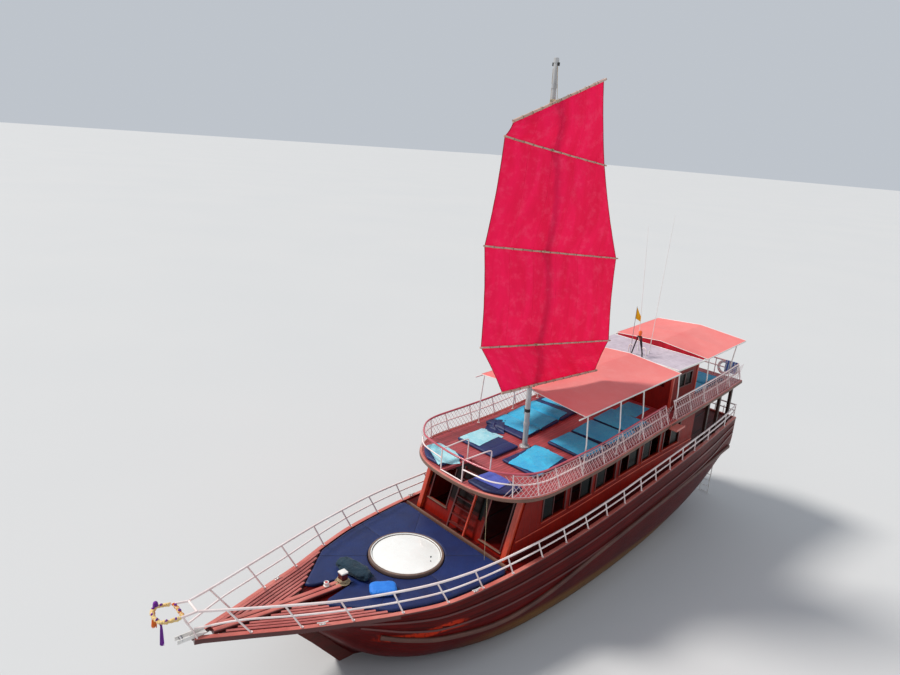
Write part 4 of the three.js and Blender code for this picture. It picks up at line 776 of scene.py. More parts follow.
def hullAt(x, share):
    section = hullSection(x, 40)
    place = share * 40
    low = min(int(place), 39)
    return section[low].lerp(section[low + 1], place - low)


def hullFinish():
    material = paintFinish("hullPaint", paint(
        (0.33, 0.025, 0.025), (0.40, 0.04, 0.035), (0.14, 0.015, 0.015), 0.42, (0.25, 1.2, 3), specular=0.12,
        planks=[("v", 1.0, 0.06)], seam=(0.05, 0.01, 0.01), plankTone=0.3, bump=0.5, depth=0.006,
        chips=0.01, bare=(0.42, 0.20, 0.16), dirtShare=0.45))
    tree = material.node_tree
    shader = tree.nodes["Principled BSDF"]
    colour = shader.inputs["Base Color"].links[0].from_socket
    place = placesOf(tree)["Object"]
    x, z = axisOf(tree, place, "X"), axisOf(tree, place, "Z")
    wander = noiseOf(tree, place, 1.3, 8, 0.7)
    # painted reflection of the sunlit water: an ochre band between the wale and the water, broken into
    # patches
    low = rangeOf(tree, mathOf(tree, "ADD", z, times(tree, wander, 0.35)), *ochreReflection["from"])
    length = times(tree, rangeOf(tree, x, *ochreReflection["foreEnd"]), rangeOf(tree, x, *ochreReflection["aftEnd"]))
    share = times(tree, times(tree, low, length), rangeOf(tree, wander, 0.3, 0.6, 0.55, 1.0))
    colour = mixOf(tree, share, colour, tint(ochreReflection["colour"]))
    # weed and bottom paint below the water
    deep = rangeOf(tree, mathOf(tree, "ADD", z, times(tree, wander, 0.12)), 0.10, 0.02)
    weed = mixOf(tree, wander, tint((0.34, 0.11, 0.09)), tint((0.16, 0.16, 0.10)))
    colour = mixOf(tree, deep, colour, weed)
    # a plain painted sweep of red near the bow
    wave = times(tree, mathOf(tree, "SINE", times(tree, x, 2.1)), 0.10)
    middle = mathOf(tree, "SUBTRACT", mathOf(tree, "SUBTRACT", z, wave), sweep["height"])
    band = rangeOf(tree, mathOf(tree, "ABSOLUTE", middle), *sweep["half"])
    ends = times(tree, rangeOf(tree, x, *sweep["aftEnd"]), rangeOf(tree, x, *sweep["foreEnd"]))
    patches = rangeOf(tree, noiseOf(tree, place, 3.2, 6, 0.6, 1.5), 0.42, 0.52)
    band = times(tree, times(tree, band, ends), patches)
    plug(tree, shader, {"Base Color": mixOf(tree, times(tree, band, 0.8), colour, tint(sweep["colour"]))})
    return material


def buildHull():
    rows, ribs = [], hullFacts["ribs"]
    for x in spread(hullFacts["aft"], hullFacts["front"], hullFacts["station"]):
        side = hullSection(x, ribs)
        deck = [at(x, -lerp(side[0].y, -side[0].y, k / 6), side[0].z) for k in range(1, 6)]
        rows.append(side + flip(side)[::-1] + deck)
    mesh = gridMesh("hull_skin", rows, closed=True, caps=True)
    count, layer = len(rows[0]), mesh.uv_layers["UVMap"]
    for face in mesh.polygons:
        skin = len(face.vertices) == 4
        if skin and face.vertices[0] % count >= 2 * ribs + 1:
            face.material_index = 1
        for loop in face.loop_indices:
            vertex = mesh.loops[loop].vertex_index
            k = vertex % count
            rib = k if k <= ribs else 2 * ribs + 1 - k
            point = mesh.vertices[vertex].co
            onSkin = rows[vertex // count][0].x, rib / ribs * hullFacts["planks"]
            layer.data[loop].uv = onSkin if skin else (point.y, point.z * 6)
    piece = newPiece("hull_skin", outward(mesh), ["hullPaint", "redDeck"], 32)
    settle(piece, "hullPaint", slot="hull_planking", replaces="hull")


finishes["hullPaint"] = hullFinish()
buildHull()

strakes = {"width": 0.05, "height": 0.075, "aft": -10.8, "rows": ((0.085, 10.2), (0.19, 9.2))}
for sign, side in bothSides:
    wale = [at(x, smooth(bodyTable, x, 4) + 0.035, smooth(bodyTable, x, 5)) for x in spread(-10.7, 8.6, 0.2)]
    planks(f"wale_{side}_strake", [flip(wale, sign)], 0.11, 0.15, "waleTrim", 0.035, replaces=f"wale_{side}")
    lines = []
    for share, front in strakes["rows"]:
        lines.append(flip(
            [hullAt(x, share) + at(0, 0.012, 0) for x in spread(strakes["aft"], front, 0.25)], sign))
    planks(f"rub_strakes_{side}", lines, strakes["width"], strakes["height"], "maroonWood", 0.02,
           slot="hull_planking")
    cap = [at(x, sheerHalf(x) - 0.075, sheerZ(x) - 0.03) for x in spread(-10.88, 8.45, 0.2)]
    beam = [at(x, max(sheerHalf(x) - 0.075, 0.085), sheerZ(x) - 0.075) for x in spread(8.3, 13.28, 0.2)]
    node = f"cap_rail_{side}"
    planks(f"{node}_top", [flip(cap, sign)], 0.15, 0.06, "capPaint", 0.015, replaces=node)
    planks(f"bow_beam_{side}", [flip(beam, sign)], 0.15, 0.15, "capPaint", 0.02, replaces=node)

print("bow platform")
bow = {"slatWidth": 0.08, "slatPitch": 0.125, "slatCount": 7, "slatInset": 0.03, "aft": 8.46, "front": 12.68,
       "rail": 0.15, "timberHalf": 0.175}


def padEdge(x):  # the oblique front edge of the foredeck pad
    return 2.0 + (x - 8.3) * (0.33 - 2.0) / 1.8


def buildBow():
    slats, half = [], bow["slatWidth"] / 2
    for sign in (1, -1):
        for slat in range(bow["slatCount"]):
            inset = bow["rail"] + bow["slatInset"] + slat * bow["slatPitch"] + half
            inside = [x for x in spread(bow["aft"], bow["front"], 0.01) if sheerHalf(x) - inset > padEdge(x)
                      and sheerHalf(x) - inset - half > bow["timberHalf"] - 0.015]
            if inside and inside[-1] - inside[0] > 0.2:
                slats.append([at(x, sign * (sheerHalf(x) - inset), sheerZ(x) + 0.008)
                              for x in spread(inside[0], inside[-1], 0.15)])
    planks("bow_slats", slats, bow["slatWidth"], 0.032, "slatPaint", 0.007, replaces="bow_platform")
    for sign, side in bothSides:
        rows = []
        for x in spread(bow["aft"], bow["front"], 0.15):
            inner, outer = max(padEdge(x), bow["timberHalf"] - 0.02), max(sheerHalf(x) - bow["rail"], 0.02)
            inner = min(inner, outer - 0.005)
            low, high = deckZ(x) + 0.001, sheerZ(x) - 0.004
            corners = ((inner, low), (outer, low), (outer, high), (inner, high))
            rows.append([at(x, sign * y, z) for y, z in corners])
        boards = outward(gridMesh("boards", rows, closed=True, caps=True))
        make(f"bow_boards_{side}", boards, "darkDeck", 40, replaces="bow_platform")
    timber = [[at(x, sign * min(0.088, max(sheerHalf(x) - bow["rail"], 0.09) / 2), sheerZ(x) + 0.02)
               for x in spread(9.0, 12.8, 0.2)] for sign in (1, -1)]
    planks("centre_timber", timber, 0.165, 0.14, "capPaint", 0.05, 5, replaces="bow_platform")


buildBow()

print("foredeck")
skylight = {
    "x": 6.5, "count": 96,
    "rim": [(0.99, 2.58), (1.18, 2.58), (1.19, 2.60), (1.19, 2.685), (1.182, 2.702), (1.165, 2.71),
            (1.105, 2.71),
            (1.088, 2.702), (1.082, 2.685), (1.08, 2.63), (1.0, 2.62), (0.99, 2.60)],
    "lip": [(1.084, 2.690), (1.084, 2.712), (1.088, 2.716), (1.110, 2.716), (1.114, 2.711)],
    "cover": [(0, 2.621), (1.06, 2.621), (1.074, 2.630), (1.074, 2.663), (1.066, 2.675), (1.05, 2.679),
              (1.03, 2.674), (1.01, 2.677), (0.8, 2.70), (0.5, 2.72), (0.2, 2.732), (0, 2.735)],
    "latch": [((6.02, 0.62, 2.705), (0.07, 0.035, 0.022), 0.6),
              ((6.16, 0.78, 2.697), (0.05, 0.03, 0.016), 0.9)],
}
for part, finish, node in (("rim", "rimWood", "skylight_ring"), ("lip", "whiteMoulding", ()),
                           ("cover", "whiteMoulding", "skylight_disc")):
    lathed(f"skylight_{part}", skylight[part], (skylight["x"], 0, 0), skylight["count"], finish,
           replaces=node)
latch = [(centre, size, Matrix.Rotation(turn, 4, "Z")) for centre, size, turn in skylight["latch"]]
blocks("skylight_latch", latch, "darkRubber")

foredeckPad = {
    "thick": 0.11, "round": 0.07, "seam": 0.008, "seamWide": 0.05, "hole": 1.2, "holeRound": 0.03,
    "seams": ((35, 0.35), (88, 1.0), (140, 0.4), (220, 0.4), (272, 1.0), (325, 0.35)),  # degrees and depth
    "rims": [0.0, 0.004, 0.018, 0.045, 0.085], "rings": 22,
}


def insidePad(x, y):
    if not 4.56 <= x <= 10.0 or x > 8.68 and abs(y) < 0.24:
        return False
    return abs(y) < min(sheerHalf(x) - 0.215, padEdge(x) - 0.04)


def padReach(angle):
    r = 1.3
    while insidePad(skylight["x"] + r * math.cos(angle), r * math.sin(angle)) and r < 6:
        r += 0.01
    return r - 0.01


def buildForedeckPad():
    v = foredeckPad
    hole, rims = v["hole"], v["rims"]
    seams = {math.radians(a): depth for a, depth in v["seams"]}
    beside = (-0.016, -0.008, -0.004, 0, 0.004, 0.008, 0.016)
    angles = [math.radians(2.5 * k) for k in range(144)] + [s + d for s in seams for d in beside]
    angles = sorted({round(a, 5) for a in angles})
    reaches = [padReach(a) for a in angles]

    def riseOf(r, a, x, y, edge, soft):
        rise = v["thick"] * math.sqrt(max(0.0, 1 - (1 - min(edge / soft, 1)) ** 2))
        near, depth = min((abs(r * math.sin(a - s)) if math.cos(a - s) > 0 else 9, deep)
                          for s, deep in seams.items())
        rise -= depth * v["seam"] * math.exp(-(near / v["seamWide"]) ** 2) * min(edge / 0.05, 1)
        arc = abs(r - 2.25 - 0.1 * math.sin(2 * a))
        rise -= 0.006 * math.exp(-(arc / 0.05) ** 2)
        puff = min(edge / 0.3, 1) * min(near / 0.25, 1)
        rise += 0.004 * puff + 0.006 * puff * noise.noise(at(x * 1.3, y * 1.3, 1))
        return rise + 0.003 * noise.noise(at(x * 6, y * 6, 4)) * min(edge / 0.1, 1)

    def ringAt(radiusAt, flat=False):
        ring = []
        for k, a in enumerate(angles):
            reach = reaches[k] * 0.6 + 0.2 * (reaches[k - 1] + reaches[(k + 1) % len(angles)])
            reach = min(reach, reaches[k])
            r = radiusAt(reach)
            x, y = skylight["x"] + r * math.cos(a), r * math.sin(a)
            edge = min(r - hole, reach - r)
            soft = v["holeRound"] if edge == r - hole else v["round"]
            rise = 0.0 if flat else riseOf(r, a, x, y, edge, soft)
            ring.append(at(x, y, deckZ(x) + 0.002 + max(rise, 0)))
        return ring

    rows = [ringAt(lambda reach: hole + 0, True)]
    rows += [ringAt(lambda reach: hole + d) for d in rims]
    for k in range(1, v["rings"]):
        rows.append(ringAt(lambda reach: lerp(hole + rims[-1], reach - rims[-1], k / v["rings"])))
    rows += [ringAt(lambda reach: reach - d) for d in reversed(rims)]
    rows.append(ringAt(lambda reach: reach - 0, True))
    mesh = gridMesh("pad", rows + [rows[0]], closed=True)
    pad = make("foredeck_padding", outward(mesh), "navyCover", replaces="foredeck_pad")
    # a thin dark cord along each seam: painted shade in the seam grooves
    seamShade = [[row[angles.index(round(s, 5))] + at(0, 0, 0.001) for row in rows[2:-2]] for s in seams]
    bars("foredeck_seamShade", seamShade, 0.005, "darkRubber", 6, slot="pad_cover")


buildForedeckPad()

print("lower rails")
posts = [  # foot x, top x, top half breadth
    (12.0, 12.62, 0.50), (10.81, 11.32, 1.04), (9.52, 9.99, 1.57), (8.22, 8.61, 2.04), (6.91, 7.34, 2.39),
    (5.69, 6.10, 2.62), (4.50, 4.84, 2.73), (3.18, 3.50, 2.77), (2.00, 2.29, 2.78), (0.84, 1.17, 2.78),
    (-0.24, 0.04, 2.77), (-1.31, -1.05, 2.75), (-2.41, -2.15, 2.70), (-3.44, -3.22, 2.64),
    (-4.54, -4.32, 2.57),
    (-5.60, -5.41, 2.49), (-6.70, -6.52, 2.40), (-8.00, -7.84, 2.29), (-9.73, -9.57, 2.12),
]
sternRail = {"x": -10.78, "outer": 1.95, "inner": 0.5, "top": 0.6, "middle": 0.33}


def buildLowerRails():
    x, z, outer, inner = sternRail["x"], sheerZ(-10.9), sternRail["outer"], sternRail["inner"]
    base = []
    for footX, topX, topHalf in posts:
        tall = sheerZ(footX) + 0.6 + 0.32 * clamp((footX - 1) / 11)
        base.append((at(footX, sheerHalf(footX) - 0.075, sheerZ(footX) - 0.01), at(topX, topHalf, tall)))
    tops = [at(13.22, 0.26, 3.79)] + [top for foot, top in base]
    mids = [at(13.30, 0.14, 3.25)] + [foot.lerp(top, 0.54) for foot, top in base]
    lines = {}
    for part, line in (("top", tops), ("middle", mids)):
        height = z + sternRail[part]
        lines[part] = curveThrough(line + [at(x, outer, height)], 0.15) + [at(x, inner, height)]
    ends = [[(x, y, z - 0.05), (x, y, z + sternRail["top"])] for y in (outer, inner)]
    feet = [[foot + at(0, 0, lift) for lift in (0.012, 0.022)] for foot, top in base]
    for sign, side in bothSides:
        for part, paths, radius, count in (
                ("top", [lines["top"]], 0.034, 12), ("middle", [lines["middle"]], 0.027, 10),
                ("posts", base + ends, 0.025, 10), ("flanges", feet, 0.045, 14)):
            bars(f"lower_rail_{side}_{part}", [flip(path, sign) for path in paths], radius, "railPaint",
                 count,
                 replaces=f"deck_rail_{side}")


buildLowerRails()

pulpit = {"corners": [(13.25, 0.25, 3.79), (13.60, 0.30, 3.835), (14.0, 0.33, 3.90), (14.15, 0.21, 3.90)],
          "strut": [(13.60, 0.29, 3.84), (13.52, 0.23, 3.60), (13.34, 0.135, 3.25), (13.22, 0.135, 2.93)]}


def buildPulpit():
    corners = pulpit["corners"]
    loop = curveThrough(corners + flip(corners)[::-1], 0.05)
    bars("pulpit_loop", [loop], 0.03, "railPaint", replaces="pulpit")
    bars("pulpit_crossings", [flip([p]) + [p] for p in corners[:2]], 0.028, "railPaint", replaces="pulpit")
    struts = [curveThrough(flip(pulpit["strut"], sign), 0.06) for sign in (1, -1)]
    bars("pulpit_struts", struts, 0.022, "railPaint", 10, replaces="pulpit")
    front = [p for p in loop if p.x > 13.66]
    middle = [(13.6, y, 3.835) for y in spread(-0.26, 0.26, 0.04)]
    puffs("garland_cream", [front], "creamCloth", 0.016, 0.047, 0.55, 0.014, 3)
    puffs("garland_orange", [middle], "orangeCloth", 0.030, 0.042, 0.55, 0.014, 5)
    puffs("garland_cream_middle", [middle], "creamCloth", 0.026, 0.042, 0.55, 0.018, 11)
    bits = [p for k, p in enumerate(front) if k % 5 == 2] + [at(13.6, 0.08, 3.86), at(13.6, -0.17, 3.86)]
    bits = [[p + at(0, 0, 0.02), p + at(0.01, 0.01, 0.05)] for p in bits]
    puffs("garland_purple", bits, "purpleCloth", 0.015, 0.030, 0.8, 0.012, 4)
    ball = [(14.02, -0.33, 3.96), (14.02, -0.33, 4.02)]
    puffs("pompon_purple", [ball], "purpleCloth", 0.003, 0.05, 0.8, 0.024, 9)


def tassel(name, top, length, far, finish, seed):
    rng = random.Random(seed)
    strands = []
    for k in range(34):
        angle, reach = rng.uniform(0, 2 * math.pi), far * math.sqrt(rng.random())
        drop = length * rng.uniform(0.88, 1.0)
        out = at(math.cos(angle), math.sin(angle), 0) * reach
        strands.append(curveThrough([top + out * 0.15, top + out * 0.55 + at(0, 0, -drop * 0.3),
                                     top + out + at(0, 0, -drop)], 0.06))
    bars(name, strands, 0.010, finish, 5)
    knot = [top + at(0, 0, 0.03), top - at(0, 0, 0.04)]
    puffs(name + "_knot", [knot], finish, 0.012, 0.035, 0.7, 0.012, seed)


buildPulpit()
tassel("tassel_orange", at(14.10, -0.24, 3.86), 0.42, 0.06, "orangeCloth", 2)
tassel("tassel_purple", at(14.10, 0.24, 3.86), 0.62, 0.045, "purpleCloth", 6)

print("foredeck fittings")
bittX, capInset = 8.86, 0.075
ringFitting = {
    "body": [(0, 0.0), (0.085, 0.0), (0.085, 0.014), (0.062, 0.022), (0.058, 0.075), (0.074, 0.088),
             (0.074, 0.118), (0.062, 0.126), (0.050, 0.120), (0.046, 0.105), (0, 0.10)],
    "top": [(0, 0.1), (0.044, 0.104), (0.040, 0.116), (0.02, 0.121), (0, 0.122)], "x": 9.36, "y": -0.09,
}


def buildBitt():
    half, low = 0.112, deckZ(bittX) + 0.13
    turns = [(bittX + sx * half, sy * half) for sx, sy in ((1, 1), (-1, 1), (-1, -1), (1, -1))]
    coil = [(*turns[k % 4], low + 0.03 + k * 0.0062) for k in range(4 * 4 + 1)]
    bars("bitt_lashing", [curveThrough(coil, 0.05)], 0.0115, "ropeFibre", 8, slot="cushion_blue")
    ring = []
    for k in range(38):
        r, a = 0.145 + 0.0022 * k, k * 0.52
        ring.append((bittX + r * math.cos(a), r * math.sin(a), low + 0.006 + 0.006 * (k % 3)))
    bars("bitt_turns", [curveThrough(ring, 0.05)], 0.0125, "ropeFibre", 8, slot="cushion_blue")
    blocks("bitt_cap", [((bittX, 0, 2.962), (0.225, 0.225, 0.05))], "whitePaint", 0.012)
    blocks("bitt_bands", [((bittX, 0, 2.925), (0.212, 0.212, 0.012))], "darkRubber", 0.003)


def cleat(name, x, sign, turn):
    y, z = sign * (sheerHalf(x) - capInset), sheerZ(x)
    spin = Matrix.Rotation(turn, 4, "Z")
    horn = [Matrix.Translation((x, y, z)) @ spin @ at(reach, 0, lift)
            for reach, lift in ((-0.15, 0.075), (-0.07, 0.062), (0.07, 0.062), (0.15, 0.075))]
    bars(name, [curveThrough(horn, 0.03)], 0.016, "whitePaint", 10)
    feet = [((x + sx * 0.045 * math.cos(turn), y + sx * 0.045 * math.sin(turn), z + 0.03),
             (0.032, 0.028, 0.06), spin)
            for sx in (1, -1)]
    blocks(name + "_foot", feet + [((x, y, z + 0.004), (0.17, 0.05, 0.008), spin)], "whitePaint", 0.004)


buildBitt()
ringPlace = ringFitting["x"], ringFitting["y"], sheerZ(ringFitting["x"]) + 0.09
lathed("ring_fitting", ringFitting["body"], ringPlace, 32, "whitePaint")
lathed("ring_fitting_top", ringFitting["top"], ringPlace, 24, "redLens")
# a taut line from the brow to the deck
bars("deck_line", [[(4.72, 1.55, 4.81), (4.84, 1.79, 2.77)]], 0.007, "ropeFibre", 8)
cleat("cleat_starboard", 4.1, -1, 0.0)
cleat("cleat_port", 5.95, 1, -0.1)
cleat("cleat_bow_port", 10.3, 1, -0.35)
cleat("cleat_bow_starboard", 10.3, -1, 0.35)

print("cabin")
cabin = {"half": 2.2, "footX": 4.18, "footZ": 2.65, "topX": 3.56, "rise": 2.1, "sill": 0.85, "width": 1.15,
         "pitch": 1.4, "count": 6, "firstX": 2.75, "aftX": -6.5}


def rakedX(z):
    return cabin["footX"] + (z - cabin["footZ"]) * (cabin["topX"] - cabin["footX"]) / cabin["rise"]


def ladderX(z):
    return 4.43 - 0.345 * (z - 2.62) + 0.047


def buildWindows():
    for sign, side in bothSides:
        sills, heads, jambs, glass = [], [], [], []
        y = sign * (cabin["half"] + 0.012)
        for k in range(cabin["count"]):
            front = cabin["firstX"] - k * cabin["pitch"]
            aft = front - cabin["width"]
            lowF, lowA = deckZ(front) + cabin["sill"], deckZ(aft) + cabin["sill"]
            ends = ((aft - 0.05, lowA), (front + 0.05, lowF))
            sills.append([at(x, y + sign * 0.012, low - 0.015) for x, low in ends])
            heads.append([at(x, y, low + 0.92) for x, low in ends])
            jambs += [((x, y, low + 0.45), (0.06, 0.03, 0.94)) for x, low in ((aft, lowA), (front, lowF))]
            middle = (aft + front) / 2
            jambs.append(((middle, sign * 2.172, (lowA + lowF) / 2 + 0.45), (0.035, 0.03, 0.89)))
            pane = (aft, middle) if k % 2 else (middle, front)
            (a, za), (b, zb) = [(x, lerp(lowA, lowF, (x - aft) / cabin["width"])) for x in pane]
            quad = (a, za + 0.01), (b, zb + 0.01), (b, zb + 0.89), (a, za + 0.89)
            glass.append([(x, sign * 2.166, z) for x, z in quad])
        planks(f"window_sills_{side}", sills, 0.055, 0.035, "orangePost")
        planks(f"window_heads_{side}", heads, 0.03, 0.05, "maroonWood", 0.006)
        blocks(f"window_jambs_{side}", jambs, "maroonWood", 0.005)
        panes(f"window_panes_{side}", glass)
        low = [at(x, sign * 2.215, deckZ(x) + 0.06) for x in spread(cabin["aftX"], 4.1, 0.4)]
        rail = [at(x, sign * 2.212, deckZ(x) + 0.62) for x in spread(cabin["aftX"], 3.95, 0.4)]
        planks(f"cabin_skirting_{side}", [low], 0.03, 0.12, "maroonWood")
        planks(f"cabin_batten_{side}", [rail], 0.022, 0.05, "orangePost")


def buildCabinFront():
    corner = [[at(rakedX(z) + 0.038, sign * 2.055, z) for z in (deckZ(4.2), upperZ(3.5) - 0.102)]
              for sign in (1, -1)]
    planks("front_corner_posts", corner, 0.182, 0.205, "orangePost", 0.014)
    trims, floorZ = [], deckZ(cabin["footX"])
    for low, high, sill, side in ((0.9, 1.8, 0.15, "port"), (-1.8, -0.9, 0.45, "starboard")):
        z = floorZ + sill
        for y in (low, high):
            trims.append([at(rakedX(floorZ + h) + 0.012, y, floorZ + h) for h in (sill, 1.78)])
        path = [at(rakedX(z) + 0.02, y, z - 0.01) for y in (low - 0.05, high + 0.05)]
        planks(f"front_opening_sill_{side}", [path], 0.09, 0.03, "brownTrim", slot="red_wall")
    planks("front_opening_trim", trims, 0.05, 0.03, "maroonWood", 0.006)
    quad = (0.565, 0.66), (0.715, 0.66), (0.715, 1.77), (0.565, 1.77)
    panes("front_window_pane", [[(rakedX(floorZ + h) - 0.02, y, floorZ + h) for y, h in quad]])
    coaming = [((4.505, 0, deckZ(4.5) + 0.075), (0.06, 4.9, 0.15))]
    blocks("deck_coaming", coaming, "brownTrim", 0.012, slot="varnished_wood")
    for sign, side, finish in ((1, "port", "orangePost"), (-1, "starboard", "maroonWood")):
        stile = [at(ladderX(z), sign * 0.39, z) for z in (deckZ(4.43) + 0.005, 4.745)]
        planks(f"ladder_stile_{side}", [stile], 0.06, 0.09, finish, 0.01, replaces="front_ladder")
    treads = [((ladderX(z), 0, z), (0.115, 0.72, 0.034))
              for z in [2.62 + 0.3 + k * 0.285 + 0.0175 for k in range(7)]]
    blocks("ladder_treads", treads, "maroonWood", 0.008, replaces="front_ladder")


buildWindows()
buildCabinFront()

print("upper deck")
upperRail = {"height": 0.8, "middle": 0.45, "inset": 0.06, "lean": 0.06, "rake": 0.3, "gapFront": -3.83,
             "gateX": 4.83, "gateHalf": 0.5}
sideXs = [4.25, 3.88, 3.48, 3.025, 2.57, 1.38, 0.19, -1.0, -2.19, -3.38]
aftXs = [-4.45, -5.64, -6.83, -8.02, -9.21, -10.32]
lattice = {"tall": 0.70, "low": 0.04, "pitch": 0.16, "out": 0.034, "thin": 0.006, "lean": 0.68,
           "strip": {1: 0.017, -1: 0.010}}


def upperPost(x, sign, height):
    share = height / upperRail["height"]
    shift = upperRail["rake"] * clamp((4.25 - x) / 1.68)
    half = upperHalf(x) - upperRail["inset"] - upperRail["lean"] * share
    return at(x + shift * share, sign * half, upperZ(x) + height)


def frontRing(sign, height):
    gateX = upperRail["gateX"]
    ring = [upperPost(x, sign, height) for x in (4.28, 4.48, 4.68)]
    return ring + [at(gateX, sign * upperRail["gateHalf"], upperZ(gateX) + height)]


def buildUpperRails():
    tall, middle, gateX, half, gap = (
        upperRail[k] for k in ("height", "middle", "gateX", "gateHalf", "gapFront"))
    nodes = ["upper_rail_port_fore", "upper_rail_starboard", "upper_rail_front", "upper_rail_aft"]
    sternX, low, top = aftXs[-1], upperZ(gateX), upperZ(gateX) + tall
    port = [upperPost(x, 1, tall) for x in [gap] + sideXs[:0:-1]]
    starboard = [upperPost(x, -1, tall) for x in sideXs[1:] + aftXs]
    ring = port + frontRing(1, tall) + [at(gateX + 0.03, 0, top)] + frontRing(-1, tall)[::-1] + starboard
    bars("upper_rail_top", [curveThrough(ring, 0.1)], 0.032, "topRailPaint", 14, replaces=nodes)
    aft, corner = ([[upperPost(x, 1, h) for x in aftXs] for h in (tall, middle)],
                   [[upperPost(sternX, sign, h) for sign in (1, -1)] for h in (tall, middle)])
    bars("upper_rail_top_aft", [curveThrough(aft[0], 0.3), corner[0]], 0.032, "railPaint", 14, replaces=nodes)
    lines = []
    for sign, xs in ((1, [gap]), (-1, aftXs[::-1])):
        run = [upperPost(x, sign, middle) for x in xs + sideXs[:0:-1]]
        lines.append(curveThrough(run + frontRing(sign, middle), 0.1))
    lines += [curveThrough(aft[1], 0.3), corner[1]]
    bars("upper_rail_middle", lines, 0.024, "railPaint", replaces=nodes)
    placed = [(x, sign) for sign in (1, -1)
              for x in sideXs[:1] + sideXs[2:3] + sideXs[4:] + aftXs] + [(gap, 1)]
    uprights = [[upperPost(x, sign, 0.0), upperPost(x, sign, tall)] for x, sign in placed]
    for share in (0.25, 0.5, 0.75):
        point = corner[0][0].lerp(corner[0][1], share)
        uprights.append([point - at(0, 0, tall), point])
    bars("upper_rail_posts", uprights, 0.021, "railPaint", 10, replaces=nodes)
    gate = [[(gateX, -half, low + 0.04), (gateX, half, low + 0.04)]]
    for sign in (1, -1):
        end = at(3.6, sign * (half + 0.04), upperZ(3.6) + 0.77)
        gate.append([(gateX, sign * half, low - 0.05), (gateX, sign * half, top)])
        gate.append(curveThrough([
            (gateX, sign * half, top - 0.03), end + at(0.06, 0, 0.002), end + at(0.01, 0, -0.03),
            end - at(0, 0, 0.10), end - at(0, 0, 0.77)], 0.03))
    bars("gate_rails", gate, 0.022, "railPaint", replaces=nodes)


def buildLattices():
    v = lattice
    for node, sign, xs in (("lattice_port_fore", 1, [upperRail["gapFront"]] + sideXs[::-1]),
                           ("lattice_port_aft", 1, aftXs), ("lattice_starboard", -1, sideXs + aftXs)):
        low, middle, high = (
            curveThrough([upperPost(x, sign, height) + at(0, sign * v["out"], 0) for x in xs], 0.12)
            for height in (v["low"], v["low"] + v["tall"] / 2, v["low"] + v["tall"]))
        values = {"Pitch": v["pitch"], "Tall": v["tall"], "Strip": v["strip"][sign],
                  "Thin": v["thin"], "Lean": v["lean"]}
        runTree(node + "_strips", latticeRow, pathMesh([middle]), "latticePaint", 30, values, replaces=node)
        bars(node + "_edges", [low, high], 0.012, "latticePaint", 8, replaces=node)


def deckOutline(out, lift):
    line = [(x, upperHalf(x)) for x in spread(-10.4, brow["from"], 0.4)]
    for k in range(1, 25):
        a, power = math.pi / 2 * k / 24, 2 / brow["power"]
        half = smooth(upperTable, min(brow["from"] + brow["length"] * math.sin(a), 4.95), 1)
        line.append((brow["from"] + brow["length"] * math.sin(a) ** power, half * math.cos(a) ** power))
    port = [at(x, y, upperZ(x) + lift) for x, y in line]
    moved = []
    for k, point in enumerate(port[:-1]):
        run = port[k + 1] - port[max(k - 1, 0)]
        moved.append(point + at(-run.y, run.x, 0).normalized() * out)
    moved.append(port[-1] + at(out, 0, 0))
    return moved + flip(moved[:-1])[::-1]


buildUpperRails()
buildLattices()
sternEdge = [at(-10.408, y, upperZ(-10.4) - 0.05) for y in (-2.16, 2.16)]
planks("deck_edge", [deckOutline(0.008, -0.052)], 0.035, 0.118, "brownTrim", 0.014)
planks("deck_lip", [deckOutline(-0.03, 0.01)], 0.09, 0.03, "salmonPaint", 0.012)
planks("stern_edge", [sternEdge], 0.035, 0.118, "brownTrim", 0.014)

